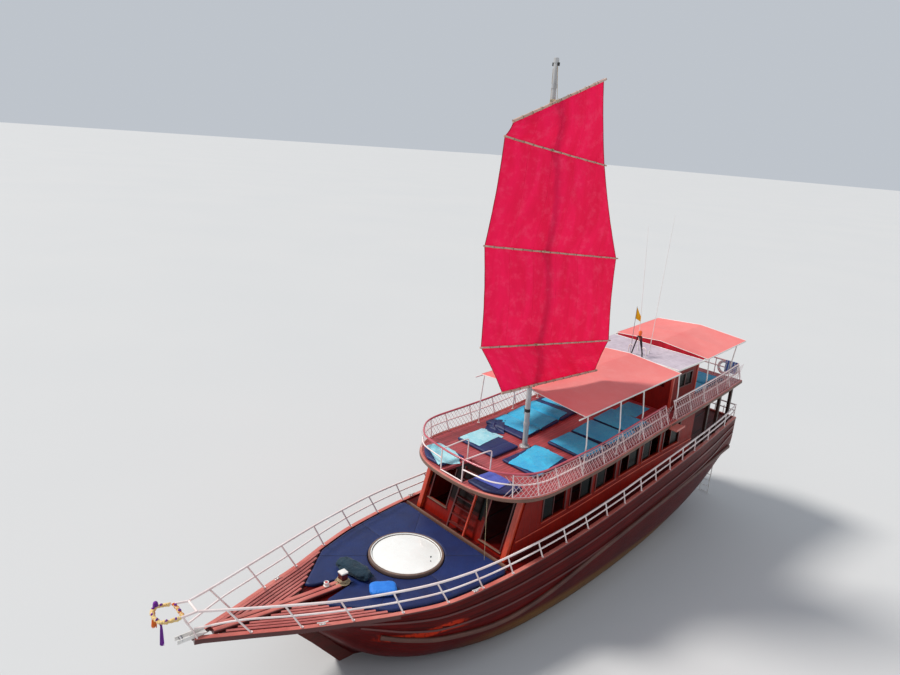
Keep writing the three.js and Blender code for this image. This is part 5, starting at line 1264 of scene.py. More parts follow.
print("mattresses and towels")
mattress = {"gap": 0.03, "shrink": 0.022, "low": 0.02, "high": 0.115, "voxel": 0.032, "pressure": 4,
            "cap": 0.022,
            "seams": 3, "seamDepth": 0.012, "frames": 20}
padTable = {  # front and back x, low and high y, mattresses
    "brow_pad_port": (3.6, 4.75, 0.59, 2.05, 1), "brow_pad_starboard": (3.6, 4.75, -2.05, -0.59, 1),
    "sun_pad_fore_port": (1.0, 2.8, 0.25, 1.75, 1), "sun_pad_fore_starboard": (1.56, 2.9, -1.9, 0.0, 1),
    "sun_pads_port": (-3.3, 0.62, 0.35, 2.25, 3), "sun_pads_starboard": (-3.3, 1.1, -2.25, -0.35, 4),
    "sun_pads_aft": (-9.8, -7.2, -1.7, 1.7, 2),
}
towels = {  # centre, width and length, turn in degrees, crumple, finish, what carries it
    "towel_a": ((2.05, -1.40), (0.95, 1.45), 6, 0.9, "paleTowel", "sun_pad_fore_starboard"),
    "towel_b": ((1.85, 1.05), (1.25, 1.75), 10, 1.6, "cyanTowel", "sun_pad_fore_port"),
    "towel_brow_starboard": ((4.08, -1.22), (0.85, 1.45), 66, 0.9, "paleTowel", "brow_pad_starboard"),
    "towel_brow_port": ((4.05, 1.12), (0.78, 1.0), 98, 0.8, "violetTowel", "brow_pad_port"),
    "towel_c": ((-0.45, -1.3), (1.7, 2.5), 3, 1.1, "cyanTowel", "sun_pads_starboard"),
    "towel_d": ((-2.5, -1.3), (1.3, 1.5), 94, 0.9, "cyanTowel", "sun_pads_starboard"),
    "towel_e": ((-0.05, 1.25), (1.15, 1.6), 88, 0.8, "cyanTowel", "sun_pads_port"),
    "towel_f": ((-1.35, 1.25), (1.15, 1.6), 92, 0.9, "cyanTowel", "sun_pads_port"),
    "towel_g": ((-2.62, 1.2), (1.15, 1.6), 90, 0.9, "cyanTowel", "sun_pads_port"),
    "towel_small": ((-2.0, 2.0), (0.35, 0.75), 8, 0.3, "cyanTowel", "sun_pads_port"),
    "towel_house": ((-3.95, 0.85), (0.95, 1.1), 5, 0.5, "cyanTowel", None),
    "towel_aft_port": ((-7.9, 0.95), (1.1, 1.4), 92, 0.8, "cyanTowel", "sun_pads_aft"),
    "towel_aft_starboard": ((-9.1, 0.3), (1.1, 2.2), 88, 0.8, "cyanTowel", "sun_pads_aft"),
    "cover_heap": ((1.05, -1.72), (0.75, 1.0), 40, 2.4, "navyCover", "sun_pads_starboard"),
}
towelFacts = {"mesh": 0.045, "wave": 0.045, "lift": 0.045, "onPad": 0.145, "onDeck": 0.01, "frames": 30,
              "thick": 0.006, "friction": 25, "quality": 6, "mass": 0.35, "stiff": 25, "bend": 1.2, "air": 4}


def soften(piece):
    softer = piece.modifiers.new("soft", "SUBSURF")
    softer.levels = softer.render_levels = 1


def areaOf(mesh):
    return sum(face.area for face in mesh.polygons)


def roundedSlab(name, x0, x1, y0, y1, z0, z1):
    soft, rows = (z1 - z0) * 0.35, []
    for x in [x0, x0 + soft * 0.3] + spread(x0 + soft, x1 - soft, 0.08) + [x1 - soft * 0.3, x1]:
        end = soft - min(x - x0, x1 - x, soft)
        inset = soft - math.sqrt(soft ** 2 - end ** 2)
        reach = upperHalf(x) - 0.15 - mattress["shrink"]
        low, high = max(y0, -reach) + inset, min(y1, reach) - inset
        bottom, top = upperZ(x) + z0 + inset, upperZ(x) + z1 - inset
        r = soft * 0.9
        rows.append([at(x, y, z) for y, z in (
            (low + r, bottom), (high - r, bottom), (high - 0.3 * r, bottom + 0.3 * r), (high, bottom + r),
            (high, top - r), (high - 0.3 * r, top - 0.3 * r), (high - r, top), (low + r, top),
            (low + 0.3 * r, top - 0.3 * r), (low, top - r), (low, bottom + r),
            (low + 0.3 * r, bottom + 0.3 * r))])
    return newPiece(name, outward(gridMesh(name, rows, closed=True, caps=True)))


def swell(pieces, voxel, pressure, cap, frames):  # the inside pushes the cover outwards
    for piece in pieces:
        grid = piece.modifiers.new("grid", "REMESH")
        grid.mode = "VOXEL"
        grid.voxel_size = voxel
        made = bpy.data.meshes.new_from_object(piece.evaluated_get(bpy.context.evaluated_depsgraph_get()))
        piece.modifiers.clear()
        piece.data = made
        puff = piece.modifiers.new("puff", "CLOTH")
        puff.settings.use_pressure = True
        puff.settings.uniform_pressure_force = pressure
        puff.settings.effector_weights.gravity = 0
    for step in range(1, frames + 1):
        scene.frame_set(step)
    graph = bpy.context.evaluated_depsgraph_get()
    for piece in pieces:
        puffed = [v.co.copy() for v in piece.evaluated_get(graph).data.vertices]
        piece.modifiers.clear()
        for v, target in zip(piece.data.vertices, puffed):
            move = target - v.co
            v.co += move * min(1, cap / max(move.length, 1e-6))
    scene.frame_set(1)


def buildMattresses():
    made, s = [], mattress["shrink"]
    for node, (x0, x1, y0, y1, count) in padTable.items():
        length = (x1 - x0) / count
        for k in range(count):
            a = x0 + k * length + (mattress["gap"] / 2 if k else 0)
            b = x0 + (k + 1) * length - (mattress["gap"] / 2 if k < count - 1 else 0)
            name = f"{node}_mat{k + 1}"
            piece = roundedSlab(name, a + s, b - s, y0 + s, y1 - s, mattress["low"], mattress["high"])
            made.append((piece, node, a, b, y0, y1))
    swell([entry[0] for entry in made], *(mattress[k] for k in ("voxel", "pressure", "cap", "frames")))
    for number, (piece, node, a, b, y0, y1) in enumerate(made):
        across = y1 - y0 > b - a
        low, high = (y0, y1) if across else (a, b)
        for v in piece.data.vertices:
            x, y, z = v.co
            if z - upperZ(x) > 0.07:
                along = (y if across else x) - low
                share = (along / (high - low) * (mattress["seams"] + 1)) % 1
                near = min(share, 1 - share) * (high - low) / (mattress["seams"] + 1)
                inside = along > 0.2 and high - low - along > 0.2
                v.co.z -= mattress["seamDepth"] * math.exp(-(near / 0.03) ** 2) * inside
                v.co.z += 0.006 * noise.noise(at(x * 2.2, y * 2.2, number * 3.1))
            v.co.z = max(v.co.z, upperZ(x) + 0.002)
        dress(piece.data, ["navyCover"])
    return [(entry[0], entry[1]) for entry in made]


def crumpledCloth(name, number, centre, size, turn, crumple, finish, carrier):
    (width, length), facts = size, towelFacts
    nu, nv = round(length / facts["mesh"]), round(width / facts["mesh"])
    c, s = math.cos(math.radians(turn)), math.sin(math.radians(turn))
    local = []
    for u in [(i / nu - 0.5) * length for i in range(nu + 1)]:
        row = []
        for v in [(j / nv - 0.5) * width for j in range(nv + 1)]:
            seed = at(u * 3.2, v * 3.2, number * 7.3)
            height = noise.noise(seed) + 0.5 * noise.noise(seed * 2.3)
            row.append(at(u, v, facts["wave"] * crumple * height))
        local.append(row)
    mesh = gridMesh(name, local)
    scale = math.sqrt(width * length / areaOf(mesh))  # the crumpled cloth keeps its cut size
    start = facts["onPad"] if carrier else facts["onDeck"]
    for vertex in mesh.vertices:
        u, v, z = vertex.co * scale
        x, y = centre[0] + u * c - v * s, centre[1] + u * s + v * c
        vertex.co = (x, y, upperZ(x) + start + facts["lift"] * (1 + crumple * 0.5) + z)
    return newPiece(name, mesh, [finish])


def deckCollider():
    rows = [[at(x, y, upperZ(x) + 0.003) for y in spread(-2.6, 2.6, 0.4)] for x in spread(-10.3, 4.9, 0.4)]
    mesh = gridMesh("collider", rows)
    mesh.flip_normals()
    return newPiece("deck_collider", mesh)


def dropCloths(cloths, carriers):
    for piece in carriers:
        piece.modifiers.new("carry", "COLLISION")
        piece.collision.thickness_outer = towelFacts["thick"]
        piece.collision.cloth_friction = towelFacts["friction"]
    for piece in cloths:
        fall = piece.modifiers.new("fall", "CLOTH")
        fall.settings.quality = towelFacts["quality"]
        fall.settings.mass = towelFacts["mass"]
        fall.settings.tension_stiffness = fall.settings.compression_stiffness = towelFacts["stiff"]
        fall.settings.bending_stiffness = towelFacts["bend"]
        fall.settings.air_damping = towelFacts["air"]
        fall.collision_settings.distance_min = towelFacts["thick"]
        fall.collision_settings.collision_quality = 3
    for step in range(1, towelFacts["frames"] + 1):
        scene.frame_set(step)
    graph = bpy.context.evaluated_depsgraph_get()
    for piece in cloths:
        fallen = [v.co.copy() for v in piece.evaluated_get(graph).data.vertices]
        piece.modifiers.clear()
        for v, place in zip(piece.data.vertices, fallen):
            v.co = place
    for piece in carriers:
        piece.modifiers.clear()
    scene.frame_set(1)


def buildTowels(mattresses):
    made = [crumpledCloth(name, number, *towels[name]) for number, name in enumerate(towels)]
    collider = deckCollider()
    dropCloths(made, [piece for piece, node in mattresses] + [collider])
    bpy.data.objects.remove(collider)
    for piece in made:
        centre, size, turn, crumple, finish, carrier = towels[piece.name]
        settle(piece, finish)
        soften(piece)


mattresses = buildMattresses()
buildTowels(mattresses)
for piece, node in mattresses:
    settle(piece, "navyCover", replaces=node)
    soften(piece)


softFacts = {  # centre, half length and width, height, turn, squareness, wrinkle, seed
    "deck_cushion": ((8.16, 1.02), 0.405, 0.29, 0.185, -0.55, 0.5, 0.04, 3),
    "slack_bag": ((8.33, -0.2), 0.62, 0.27, 0.27, 1.79, 0.7, 0.17, 8),
}
softLooks = {  # finish, node, fullness, folds
    "deck_cushion": ("blueCover", "foredeck_cushion", 0.85, 0.006),
    "slack_bag": ("tealCloth", "bean_bag", 0.35, 0.022),
}


def softForm(name, centre, halfLength, halfWidth, height, turn, power, wrinkle, seed):
    base = deckZ(centre[0]) + 0.115
    form = bmesh.new()
    bmesh.ops.create_icosphere(form, subdivisions=5, radius=1.0)
    c, s = math.cos(turn), math.sin(turn)
    for v in form.verts:
        n = v.co.normalized()
        u, w, h = (math.copysign(abs(k) ** power, k) for k in n)
        folds = noise.noise(n * 2.3 + at(seed, 0, 0)) + 0.5 * abs(noise.noise(n * 5.1 + at(0, seed, 0)))
        crease = 1 + wrinkle * folds
        u, w = u * halfLength * crease, w * halfWidth * crease
        z = h * height * 0.5 * (1 + 0.6 * wrinkle * noise.noise(n * 3.7 + at(0, 0, seed))) + height * 0.5
        v.co = at(centre[0] + u * c - w * s, centre[1] + u * s + w * c, base + max(z, 0.0))
    mesh = bpy.data.meshes.new(name)
    form.to_mesh(mesh)
    form.free()
    return newPiece(name, mesh)


def buildSoftForms():
    made = [softForm(name, *values) for name, values in softFacts.items()]
    swell(made, 0.014, 3, 0.016, 14)
    for piece in made:
        finish, node, fill, folds = softLooks[piece.name]
        form = bmesh.new()
        form.from_mesh(piece.data)
        form.normal_update()
        for v in form.verts:
            top = clamp((v.co.z - deckZ(8.2) - 0.13) / 0.08)
            wave = abs(noise.noise(v.co * 5.5)) + 0.6 * abs(noise.noise(v.co * 11 + at(4, 2, 0)))
            v.co += v.normal * folds * (0.55 - wave) * top
        form.to_mesh(piece.data)
        form.free()
        dress(piece.data, [finish])
        settle(piece, finish, replaces=node)


buildSoftForms()

print("awnings")
awnings = {
    "fore": {"frontX": 1.37, "aftX": -4.6, "frontHalf": 2.41, "aftHalf": 2.3, "frontZ": 6.99, "aftZ": 7.4,
             "ridge": 0.17, "barX": 1.25, "posts": [1.2, -0.67, -2.09, -4.52], "poleX": 1.66, "drop": 0.0017,
             "seed": 1, "notchX": 1.412, "notch": 0.135},
    "aft": {"frontX": -6.77, "aftX": -10.07, "frontHalf": 2.18, "aftHalf": 2.15, "frontZ": 7.6, "aftZ": 7.9,
            "ridge": 0.18, "barX": -6.8, "posts": [-6.96, -9.28], "poleX": -6.7, "drop": 0.0022, "seed": 2,
            "notchX": 0, "notch": 0},
}
canopy = {"sag": 0.055, "lift": 0.014, "tube": 0.024, "gap": 0.0003, "inset": 0.03}


def awningEdge(v, x):
    share = (v["frontX"] - x) / (v["frontX"] - v["aftX"])
    return lerp(v["frontHalf"], v["aftHalf"], share), lerp(v["frontZ"], v["aftZ"], share)


def awningPoint(v, x, across, seed=0):
    half, z = awningEdge(v, x)
    crossings = [v["barX"], (v["barX"] + v["aftX"] + 0.03) / 2, v["aftX"] + 0.03]
    bay = 0 if x > crossings[1] else 1
    between = clamp((crossings[bay] - x) / (crossings[bay] - crossings[bay + 1]))
    belly = math.sin(math.pi * between) * math.sin(math.pi * min(abs(across) / 0.98, 1))
    broad, fine = noise.noise(at(x * 1.1, across * 5, seed)), noise.noise(at(x * 4, across * 14, seed))
    ripple = belly * (0.012 * broad + 0.006 * fine)
    rise = v["ridge"] * (1 - abs(across))
    return at(x, half * across, z + rise - canopy["sag"] * belly + ripple + canopy["lift"])


def buildAwning(side, v):
    rows, aftX = [], v["aftX"] + 0.03
    for x in spread(v["frontX"], v["aftX"], 0.1):
        row = [awningPoint(v, x, across, v["seed"]) for across in spread(-1, 1, 0.035)]
        for point in row:
            if abs(point.y) < v["notch"]:  # the canvas ends behind the mast
                bow = math.sqrt(v["notch"] ** 2 - point.y ** 2)
                point.x = min(point.x, v["notchX"] - bow - 0.02 * (v["frontX"] - x))
        rows.append(row)
    sheet = make(f"awning_{side}_sheet", gridMesh("sheet", rows), "canvas", replaces=f"awning_{side}")
    hems = [[awningPoint(v, x, sign) for x in spread(v["frontX"], v["aftX"], 0.15)] for sign in (1, -1)]
    hem = bars(f"awning_{side}_hem", hems + [rows[0], rows[-1]], 0.013, "whitePaint", 8, slot="canvas")
    below = canopy["tube"] + canopy["gap"] + v["drop"]

    def edge(x, sign, inset, shift=0.0):
        half, z = awningEdge(v, x)
        return at(x + shift, sign * (half - inset), z - below)

    def ridge(x, shift=0.0):
        return at(x + shift, 0, awningEdge(v, x)[1] + v["ridge"] - below)

    def foot(x, sign, lift=0.0):
        return at(x, sign * (upperHalf(x) - 0.22), upperZ(x)) + at(0, 0, lift)

    poles = []
    for sign in (1, -1):
        poles.append([edge(v["poleX"], sign, canopy["inset"]), edge(aftX, sign, canopy["inset"], -0.02)])
        for x in v["posts"]:
            knee, top = foot(x, sign, 1.0), edge(x, sign, canopy["inset"])
            bend = [foot(x, sign), foot(x, sign, 0.9), knee, knee.lerp(top, 0.12), top]
            poles.append(curveThrough(bend, 0.2))
        for x in (v["barX"], (v["barX"] + aftX) / 2, aftX):
            poles.append([ridge(x), edge(x, sign, 0.02)])
    poles.append([ridge(v["barX"], 0.02), ridge(aftX, -0.02)])
    bars(f"awning_{side}_poles", poles, canopy["tube"], "whitePaint", replaces=f"awning_frame_{side}")
    flanges = [[foot(x, sign, lift) for lift in (0.001, 0.012)] for x in v["posts"] for sign in (1, -1)]
    bars(f"awning_{side}_flanges", flanges, 0.055, "whitePaint", 16)


# the hanging front edge of the aft canvas; its crimson colour is painted shade, the salmon canvas as it looks
# in its own shadow
def buildValance():
    v, rows = awnings["aft"], []
    half, z = awningEdge(v, v["frontX"])
    for share in spread(0, 1, 0.1):
        row = []
        for y in spread(-2.05, 2.05, 0.04):
            rise = v["ridge"] * (1 - abs(y) / half)
            drop = share * (0.06 + rise + 0.10 * math.exp(-((y - 0.9) / 0.6) ** 2))
            wave = math.sin(y * 17) * 0.014 + math.sin(y * 41) * 0.005
            x = v["frontX"] + 0.045 + wave * (0.3 + drop * 2) + drop * 0.2
            row.append(at(x, y, z + rise + 0.016 - drop))
        rows.append(row)
    piece = make("aft_valance", gridMesh("valance", rows), "crimsonCloth")


for side, values in awnings.items():
    buildAwning(side, values)
buildValance()

print("mast and sail")
mast = {"footX": 1.32, "footZ": 5.00535, "lean": 0.042986728, "topZ": 17.8, "footRadius": 0.095,
        "topRadius": 0.070,
        "collars": {5.9: 0.012, 8.55: 0.010, 17.0: 0.014, 17.72: 0.012},
        "step": [(0.10, 0.0), (0.19, 0.0), (0.19, 0.045), (0.175, 0.06), (0.13, 0.07), (0.118, 0.09),
                 (0.10, 0.09)]}
rig = {"turn": math.radians(12), "plane": 0.15, "gap": 0.0043, "tie": 0.36, "billow": 0.10}
spars = {  # aft reach and height of both ends, radius
    "boom": (-1.3, 7.27, 2.83, 7.66, 0.048), "batten_lower": (-2.25, 8.94, 3.33, 8.74, 0.032),
    "batten_middle": (-2.33, 12.2, 3.23, 11.72, 0.032), "batten_upper": (-1.84, 15.44, 2.25, 14.79, 0.032),
    "yard": (-1.57, 15.87, 1.85, 17.39, 0.048),
}


def mastAt(z):
    return at(mast["footX"] + (z - mast["footZ"]) * mast["lean"], 0, z)


def mastRadius(z):
    return lerp(mast["footRadius"], mast["topRadius"], (z - mast["footZ"]) / (mast["topZ"] - mast["footZ"]))


def sailPoint(aft, z, out):
    c, s = math.cos(rig["turn"]), math.sin(rig["turn"])
    return at(mastAt(0).x - c * aft + mast["lean"] * z + s * out, s * aft + c * out, z)


def buildMast():
    foot, top, collars = mast["footZ"], mast["topZ"], mast["collars"]
    profile = [(0, -0.004)]
    for z in sorted(spread(foot, top, 0.4) + [c + d for c in collars for d in (-0.061, -0.06, 0.06, 0.061)]):
        bulge = max([size for c, size in collars.items() if abs(z - c) <= 0.0601] or [0])
        profile.append((mastRadius(z) + bulge, z - foot))
    profile += [(0.055, top - foot + 0.004), (0, top - foot + 0.006)]
    lean, deck = at(mast["lean"], 0, 1).normalized(), upperZ(mast["footX"])
    pole = [(r, z / lean.z) for r, z in profile]
    lathed("mast_pole", pole, (mast["footX"], 0, foot), 40, "mastPaint", lean, replaces="mast")
    lathed("mast_step", mast["step"], (mast["footX"], 0, deck + 0.001), 48, "mastPaint", replaces="mast")
    band = [(mastRadius(7.5) + r, z) for r, z in ((0.001, 0), (0.004, 0.003), (0.004, 0.117), (0.001, 0.12))]
    lathed("mast_band", band, mastAt(6.35), 40, "darkRubber", lean)
    bolts = []
    for a in [math.pi / 4 * k + 0.2 for k in range(8)]:
        x, y = mast["footX"] + 0.155 * math.cos(a), 0.155 * math.sin(a)
        bolts.append([at(x, y, deck + lift) for lift in (0.062, 0.082)])
    bars("mast_bolts", bolts, 0.012, "dullSteel", 6)


def lashing(name, out, radius, crossZ):
    loops, spin = [], Matrix.Rotation(-rig["turn"], 3, "Z")
    near = mastRadius(crossZ) + 0.016
    for shift in (-0.03, 0.0, 0.03):
        loop = []
        for a in turnsOf(40):
            y = math.sin(a)
            if y < 0:
                reach = at(math.cos(a) * near, y * near, 0)
            else:
                reach = at(math.cos(a) * lerp(near, radius + 0.016, y), y * (out + radius + 0.012), 0)
            wave = 0.012 * math.sin(a * 2 + shift * 40)
            loop.append(mastAt(crossZ + shift) + spin @ reach + at(0, 0, wave))
        loops.append(loop)
    bars(name + "_mast_lashing", loops, 0.012, "ropeFibre", 8, closed=True, body="sail", replaces=name)


def buildSpar(name, s0, z0, s1, z1, radius):
    out = rig["plane"] + rig["gap"] + radius
    rng = random.Random(len(name) * 7 + int(z0 * 10))
    joints, place = [], 0.0
    length = math.hypot(s1 - s0, z1 - z0)
    while place < length:
        joints.append(place)
        place += rng.uniform(0.30, 0.46)
    beside = [clamp(j + d, 0, length) for j in joints for d in (-0.018, -0.006, 0, 0.006, 0.018)]
    start, end = sailPoint(s0, z0, out), sailPoint(s1, z1, out)
    axis = (end - start).normalized()
    side = axis.cross(at(0, 0, 1)).normalized()
    up = side.cross(axis)
    bow = rng.uniform(-1, 1) * 0.012

    def middle(share):
        return start.lerp(end, share) + up * bow * math.sin(math.pi * share)

    rows = []
    for stop in sorted({round(k, 4) for k in spread(0, length, 0.06) + beside}):
        near = min(abs(stop - j) for j in joints)
        r = radius * (0.93 + 0.10 * math.exp(-(near / 0.010) ** 2)) * (1.0 - 0.18 * (stop / length))
        centre = middle(stop / length) + up * 0.003 * math.sin(stop * 9)
        rows.append([centre + side * r * math.cos(a) + up * r * math.sin(a) for a in turnsOf(14)])
    pole = outward(gridMesh(name, rows, closed=True, caps=True))
    make(name + "_pole", pole, "bamboo", 35, body="sail", replaces=name)
    lashing(name, out, radius, z0 - (z1 - z0) * s0 / (s1 - s0))
    ties, r = [], radius + 0.006
    for k in range(1, int(length / rig["tie"])):
        centre = middle(k * rig["tie"] / length)
        ties.append([centre + side * r * math.cos(a) + up * r * math.sin(a) + axis * 0.004 * math.sin(a)
                     for a in turnsOf(12)])
    bars(name + "_ties", ties, 0.005, "ropeFibre", 6, closed=True, body="sail")


def buildSail():
    rows, order = [], list(spars)
    for number, (low, high) in enumerate(zip(order, order[1:])):
        a, b = spars[low], spars[high]
        tall = abs((b[1] + b[3]) - (a[1] + a[3])) / 2
        for v in spread(0, 1, 0.11 / tall)[0 if number == 0 else 1:]:
            luff = at(lerp(a[0], b[0], v) + 0.06, lerp(a[1], b[1], v), 0)
            leech = at(lerp(a[2], b[2], v) - 0.06, lerp(a[3], b[3], v), 0)
            hollow = 0.055 * math.sin(math.pi * v) * min(tall / 2, 1)
            pull = math.exp(-(min(v, 1 - v) * tall / 0.35) ** 2)
            row = []
            for u in spread(0, 1, 0.028):
                point = luff.lerp(leech, u)
                point.x += hollow * (1 - 2 * u) ** 3
                body = math.sin(math.pi * v) * math.sin(math.pi * u) ** 0.7 * min(tall / 2.2, 1)
                out = rig["plane"] + rig["billow"] * body
                crease = (noise.noise(at(u * 9 + number, v * 2.2 * tall, 2))
                          + 0.6 * noise.noise(at(u * 24, v * 3.5 * tall, number)))
                out += 0.022 * crease * math.sin(math.pi * v) ** 0.5 * (0.4 + body)
                out += 0.012 * pull * math.sin(u * 2 * math.pi * 15) * math.sin(math.pi * v)
                row.append(sailPoint(point.x, point.y, max(out, rig["plane"] - 0.006)))
            rows.append(row)
    sheet = make("sail_cloth", gridMesh("cloth", rows), "sailCloth", body="sail", replaces="sail")
    edges = [[row[0] for row in rows], [row[-1] for row in rows], rows[0], rows[-1]]
    hem = bars("sail_boltrope", edges, 0.011, "crimsonCloth", 8, body="sail", slot="sailcloth")


def buildHalyards():
    def beside(z, x, y):
        return mastAt(z) + at(x, y, 0)

    yardTie = sailPoint(0, 16.56, 0.20)
    bars("halyard", [[beside(17.55, 0.02, 0.085), yardTie]], 0.008, "ropeFibre", 8, body="sail")
    falls = [[beside(17.5, 0, -0.10), beside(6.4, 0, -0.115)],
             [beside(17.5, -0.05, -0.09), beside(6.6, -0.06, -0.10)]]
    bars("halyard_fall", falls, 0.007, "ropeFibre", 8, slot="mast_paint")
    horn = [beside(6.35 + dz, 0, -0.13 - 0.02 * abs(dz) * 10) for dz in (-0.12, -0.05, 0.05, 0.12)]
    bars("mast_cleat", [curveThrough(horn, 0.03)], 0.013, "dullSteel", 10)
    heads = [(tuple(beside(17.62, 0, y)), (0.05, 0.06, 0.10)) for y in (0.1, -0.1)]
    blocks("masthead_block", heads, "darkRubber", 0.01)


buildMast()
for name, values in spars.items():
    buildSpar(name, *values)
buildSail()
buildHalyards()

print("house and roof fittings")
house = {"half": 1.95, "frontX": -4.75, "aftX": -6.55, "roofHalf": 2.13, "roofZ": 7.48,
         "window": [(-6.15, 6.65), (-5.15, 6.60), (-5.15, 7.15), (-6.15, 7.20)]}


def roofTop(x):
    return house["roofZ"] - (x - house["frontX"]) * 0.05


def ringOf(corners):
    return zip(corners, corners[1:] + corners[:1])


def buildHouse():
    half, frontX, aftX = house["half"], house["frontX"], house["aftX"]
    corners = [at(x, sign * house["roofHalf"], roofTop(x) - 0.028)
               for x, sign in ((frontX + 0.06, 1), (aftX - 0.06, 1), (aftX - 0.06, -1), (frontX + 0.06, -1))]
    planks("roof_edge", list(ringOf(corners)), 0.03, 0.07, "whitePaint", 0.01, slot="roof_grey")
    frames, glass = [], []
    for sign in (1, -1):
        y = sign * (half + 0.008)
        for (xa, za), (xb, zb) in ringOf(house["window"]):
            if xa != xb:
                over = math.copysign(0.02, xb - xa)
                frames.append([at(xa - over, y, za), at(xb + over, y, zb)])
        glass.append([(x, sign * (half - 0.025), z) for x, z in house["window"]])
    planks("house_window_rails", frames, 0.025, 0.05, "maroonWood", 0.006)
    jambs = [((x, sign * (half + 0.008), 6.9), (0.05, 0.025, 0.56))
             for x in (-6.15, -5.15, -5.65) for sign in (1, -1)]
    blocks("house_window_jambs", jambs, "maroonWood", 0.005)
    panes("house_panes", glass)
    corner = []
    for x in (frontX - 0.02, aftX + 0.02):
        size = 0.09, 0.09, roofTop(x) - 0.07 - upperZ(x)
        corner += [((x, sign * (half - 0.02), lerp(upperZ(x), roofTop(x), 0.5)), size) for sign in (1, -1)]
    blocks("house_corner_posts", corner, "orangePost", 0.012)
    doorway = []
    for x, out in ((frontX, 1), (aftX, -1)):
        face, floorZ = x + out * 0.012, upperZ(x)
        doorway += [((face, sign * 0.405, floorZ + 0.86), (0.03, 0.05, 1.62)) for sign in (1, -1)]
        doorway.append(((face, 0, floorZ + 1.68), (0.03, 0.86, 0.06)))
    blocks("house_door_trim", doorway, "maroonWood")


signals = {
    "x": -4.82, "low": 7.42 + 0.055, "beam": 8.30, "middle": 0.18,
    "lamp": [(0, 0.0), (0.05, 0.0), (0.05, 0.05), (0.07, 0.06), (0.075, 0.16), (0.06, 0.20),
             (0.02, 0.22), (0, 0.22)],
    "base": [(0, 0), (0.065, 0), (0.065, 0.05), (0.055, 0.055), (0, 0.055)],
    "antennas": {"port": (0.30, 0.48, 13.1), "starboard": (-0.22, -0.60, 12.6)},  # foot y, top y and z
}
pennant = {"x": -4.83, "y": -0.14, "top": 9.42, "length": 0.26, "hoist": 0.46, "tip": 0.20}


def buildSignals():
    x, low, beam, middle = (signals[k] for k in ("x", "low", "beam", "middle"))
    dark = [[(x, -0.10, low), (x, 0.10, beam)], [(x, 0.42, low), (x, 0.26, beam)],
            [(x, 0.10, beam), (x, 0.26, beam)],
            [(x - 0.4, middle, low), (x, middle, beam - 0.05)]]
    bars("signal_frame_dark", dark, 0.026, "darkRubber", 10, slot="dark_wood")
    lifts = (0, 0.35, 0.42, 0.38)
    white = [curveThrough([(x, y, low + lift) for y, lift in zip(ys, lifts)], 0.04)
             for ys in ((-0.24, -0.23, -0.16, -0.08), (0.56, 0.55, 0.46, 0.36))]
    bars("signal_frame_white", white, 0.020, "whitePaint", 10)
    lathed("signal_lamp", signals["lamp"], (x, middle, beam + 0.02), 28, "orangeLens")
    lathed("signal_lamp_base", signals["base"], (x, middle, beam - 0.03), 28, "darkRubber")
    for side, (footY, topY, topZ) in signals["antennas"].items():
        foot = at(-5.5, footY, roofTop(-5.5))
        axis = at(-5.5, topY, topZ) - foot
        length = axis.length
        profile = [(0, 0), (0.03, 0), (0.03, 0.12), (0.016, 0.14), (0.014, 0.5), (0.017, 0.51), (0.017, 0.56),
                   (0.011, 0.57), (0.008, length * 0.6), (0.005, length - 0.02), (0, length)]
        lathed(f"antenna_{side}", profile, foot, 12, "whitePaint", axis.normalized())


def buildPennant():
    v, rows = pennant, []
    staff = [(signals["x"], v["y"], roofTop(signals["x"])), (signals["x"], v["y"], 9.45)]
    bars("pennant_staff", [staff], 0.010, "dullSteel", 8, slot="white_tube")
    for u in spread(0, v["length"], 0.02):
        tall = lerp(v["hoist"], v["tip"], u / v["length"])
        wave = 0.02 * math.sin(u * 30) * (u / v["length"]) ** 0.5
        x, y, z = v["x"] - u * 0.45 + wave, v["y"] + wave + u * 0.6, v["top"] - 0.9 * u - v["hoist"] / 2
        rows.append([at(x, y, z + s * tall) for s in spread(-0.5, 0.5, 0.125)])
    flag = make("pennant", gridMesh("pennant", rows), "yellowCloth")


buildHouse()
buildSignals()
buildPennant()

print("stern")
transom = {"x": -10.912, "trim": [(1.55, 3.85), (1.35, 2.9), (-1.35, 2.9), (-1.55, 3.85)]}
hungTowel = {"front": -0.55, "back": 0.5, "low": 1.48, "high": 2.0, "round": 0.04, "railX": -10.32}


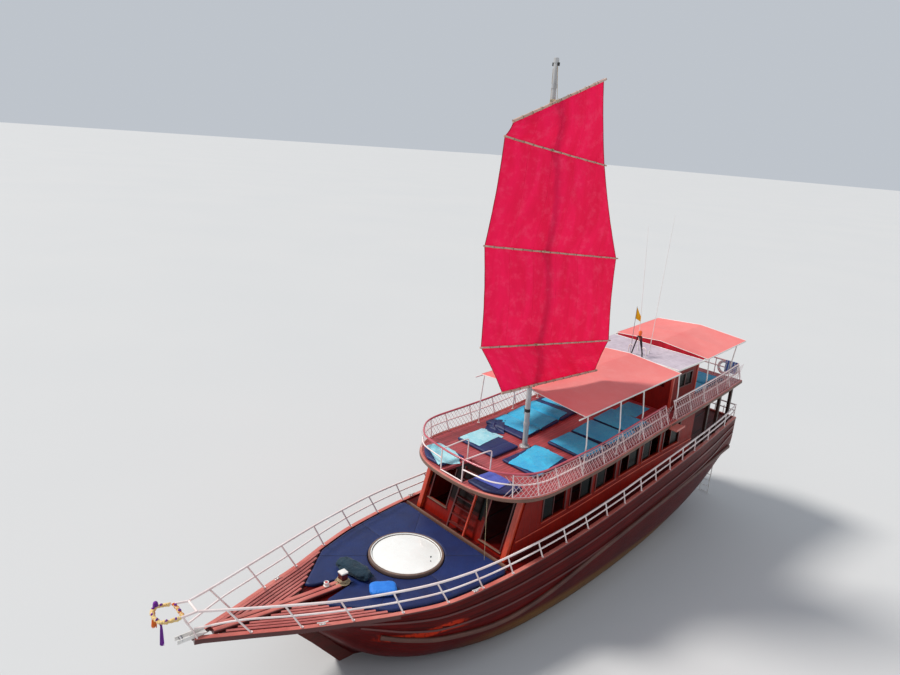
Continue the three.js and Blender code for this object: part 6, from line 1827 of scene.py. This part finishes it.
def buildStern():
    trim = [at(transom["x"], y, z) for y, z in transom["trim"]]
    bars("transom_trim", list(ringOf(trim)), 0.02, "salmonPaint", 8, slot="hull_planking")
    edge = [at(-10.9, y, sheerZ(-10.9) - 0.03) for y in spread(-1.98, 1.98, 0.3)]
    planks("transom_cap", [edge], 0.10, 0.06, "salmonPaint", 0.015, slot="cap_paint")
    ring = [(0.27 + 0.065 * math.cos(a), 0.065 * math.sin(a)) for a in turnsOf(16) + [2 * math.pi]]
    lathed("life_ring", ring, (-10.24, 1.35, 6.45), 40, "whiteMoulding", (1, 0, 0))


def buildHungTowel():
    v, rows = hungTowel, []
    rail, r = upperPost(v["railX"], 1, upperRail["height"]), v["round"]
    over = math.pi * r
    for t in spread(v["front"], v["back"], 0.04):
        row = []
        for y in spread(v["low"], v["high"], 0.04):
            wave = 0.018 * math.sin(y * 21) + 0.008 * math.sin(y * 47)
            if abs(t) < over / 2:
                x, z = rail.x - r * math.sin(t / r), rail.z + r * math.cos(t / r)
            else:
                drop = abs(t) - over / 2
                out = r + drop * 0.05 + wave * min(drop * 4, 1)
                x, z = rail.x - math.copysign(1, t) * out, rail.z - drop
            row.append(at(x, y, z))
        rows.append(row)
    piece = make("towel_hung", gridMesh("hung", rows), "stripeTowel")


buildStern()
buildHungTowel()

print("carried-over nodes")
keep = {
    "bottomPaint": "keel rudder", "castBronze": "propeller", "maroonWood": "bitt",
    "dullSteel": "anchor_roller",
    "whitePaint": "roller_frame stern_ladder", "sunDeck": "upper_deck", "darkWood": "cabin_door aft_posts",
    "redWall": "cabin_wall_port cabin_wall_starboard cabin_aft house_wall_port house_wall_starboard "
               "house_front house_aft",
    "frontWall": "cabin_front", "roofGrey": "house_roof", "salmonPaint": "side_step",
}
keptFinish = {node: finish for finish, row in keep.items() for node in row.split()}
for node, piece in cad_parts.items():
    finish = finishes[keptFinish.get(node, "navyCover")]
    if piece.material_slots:
        for place in piece.material_slots:
            place.material = finish
    else:
        piece.data.materials.append(finish)
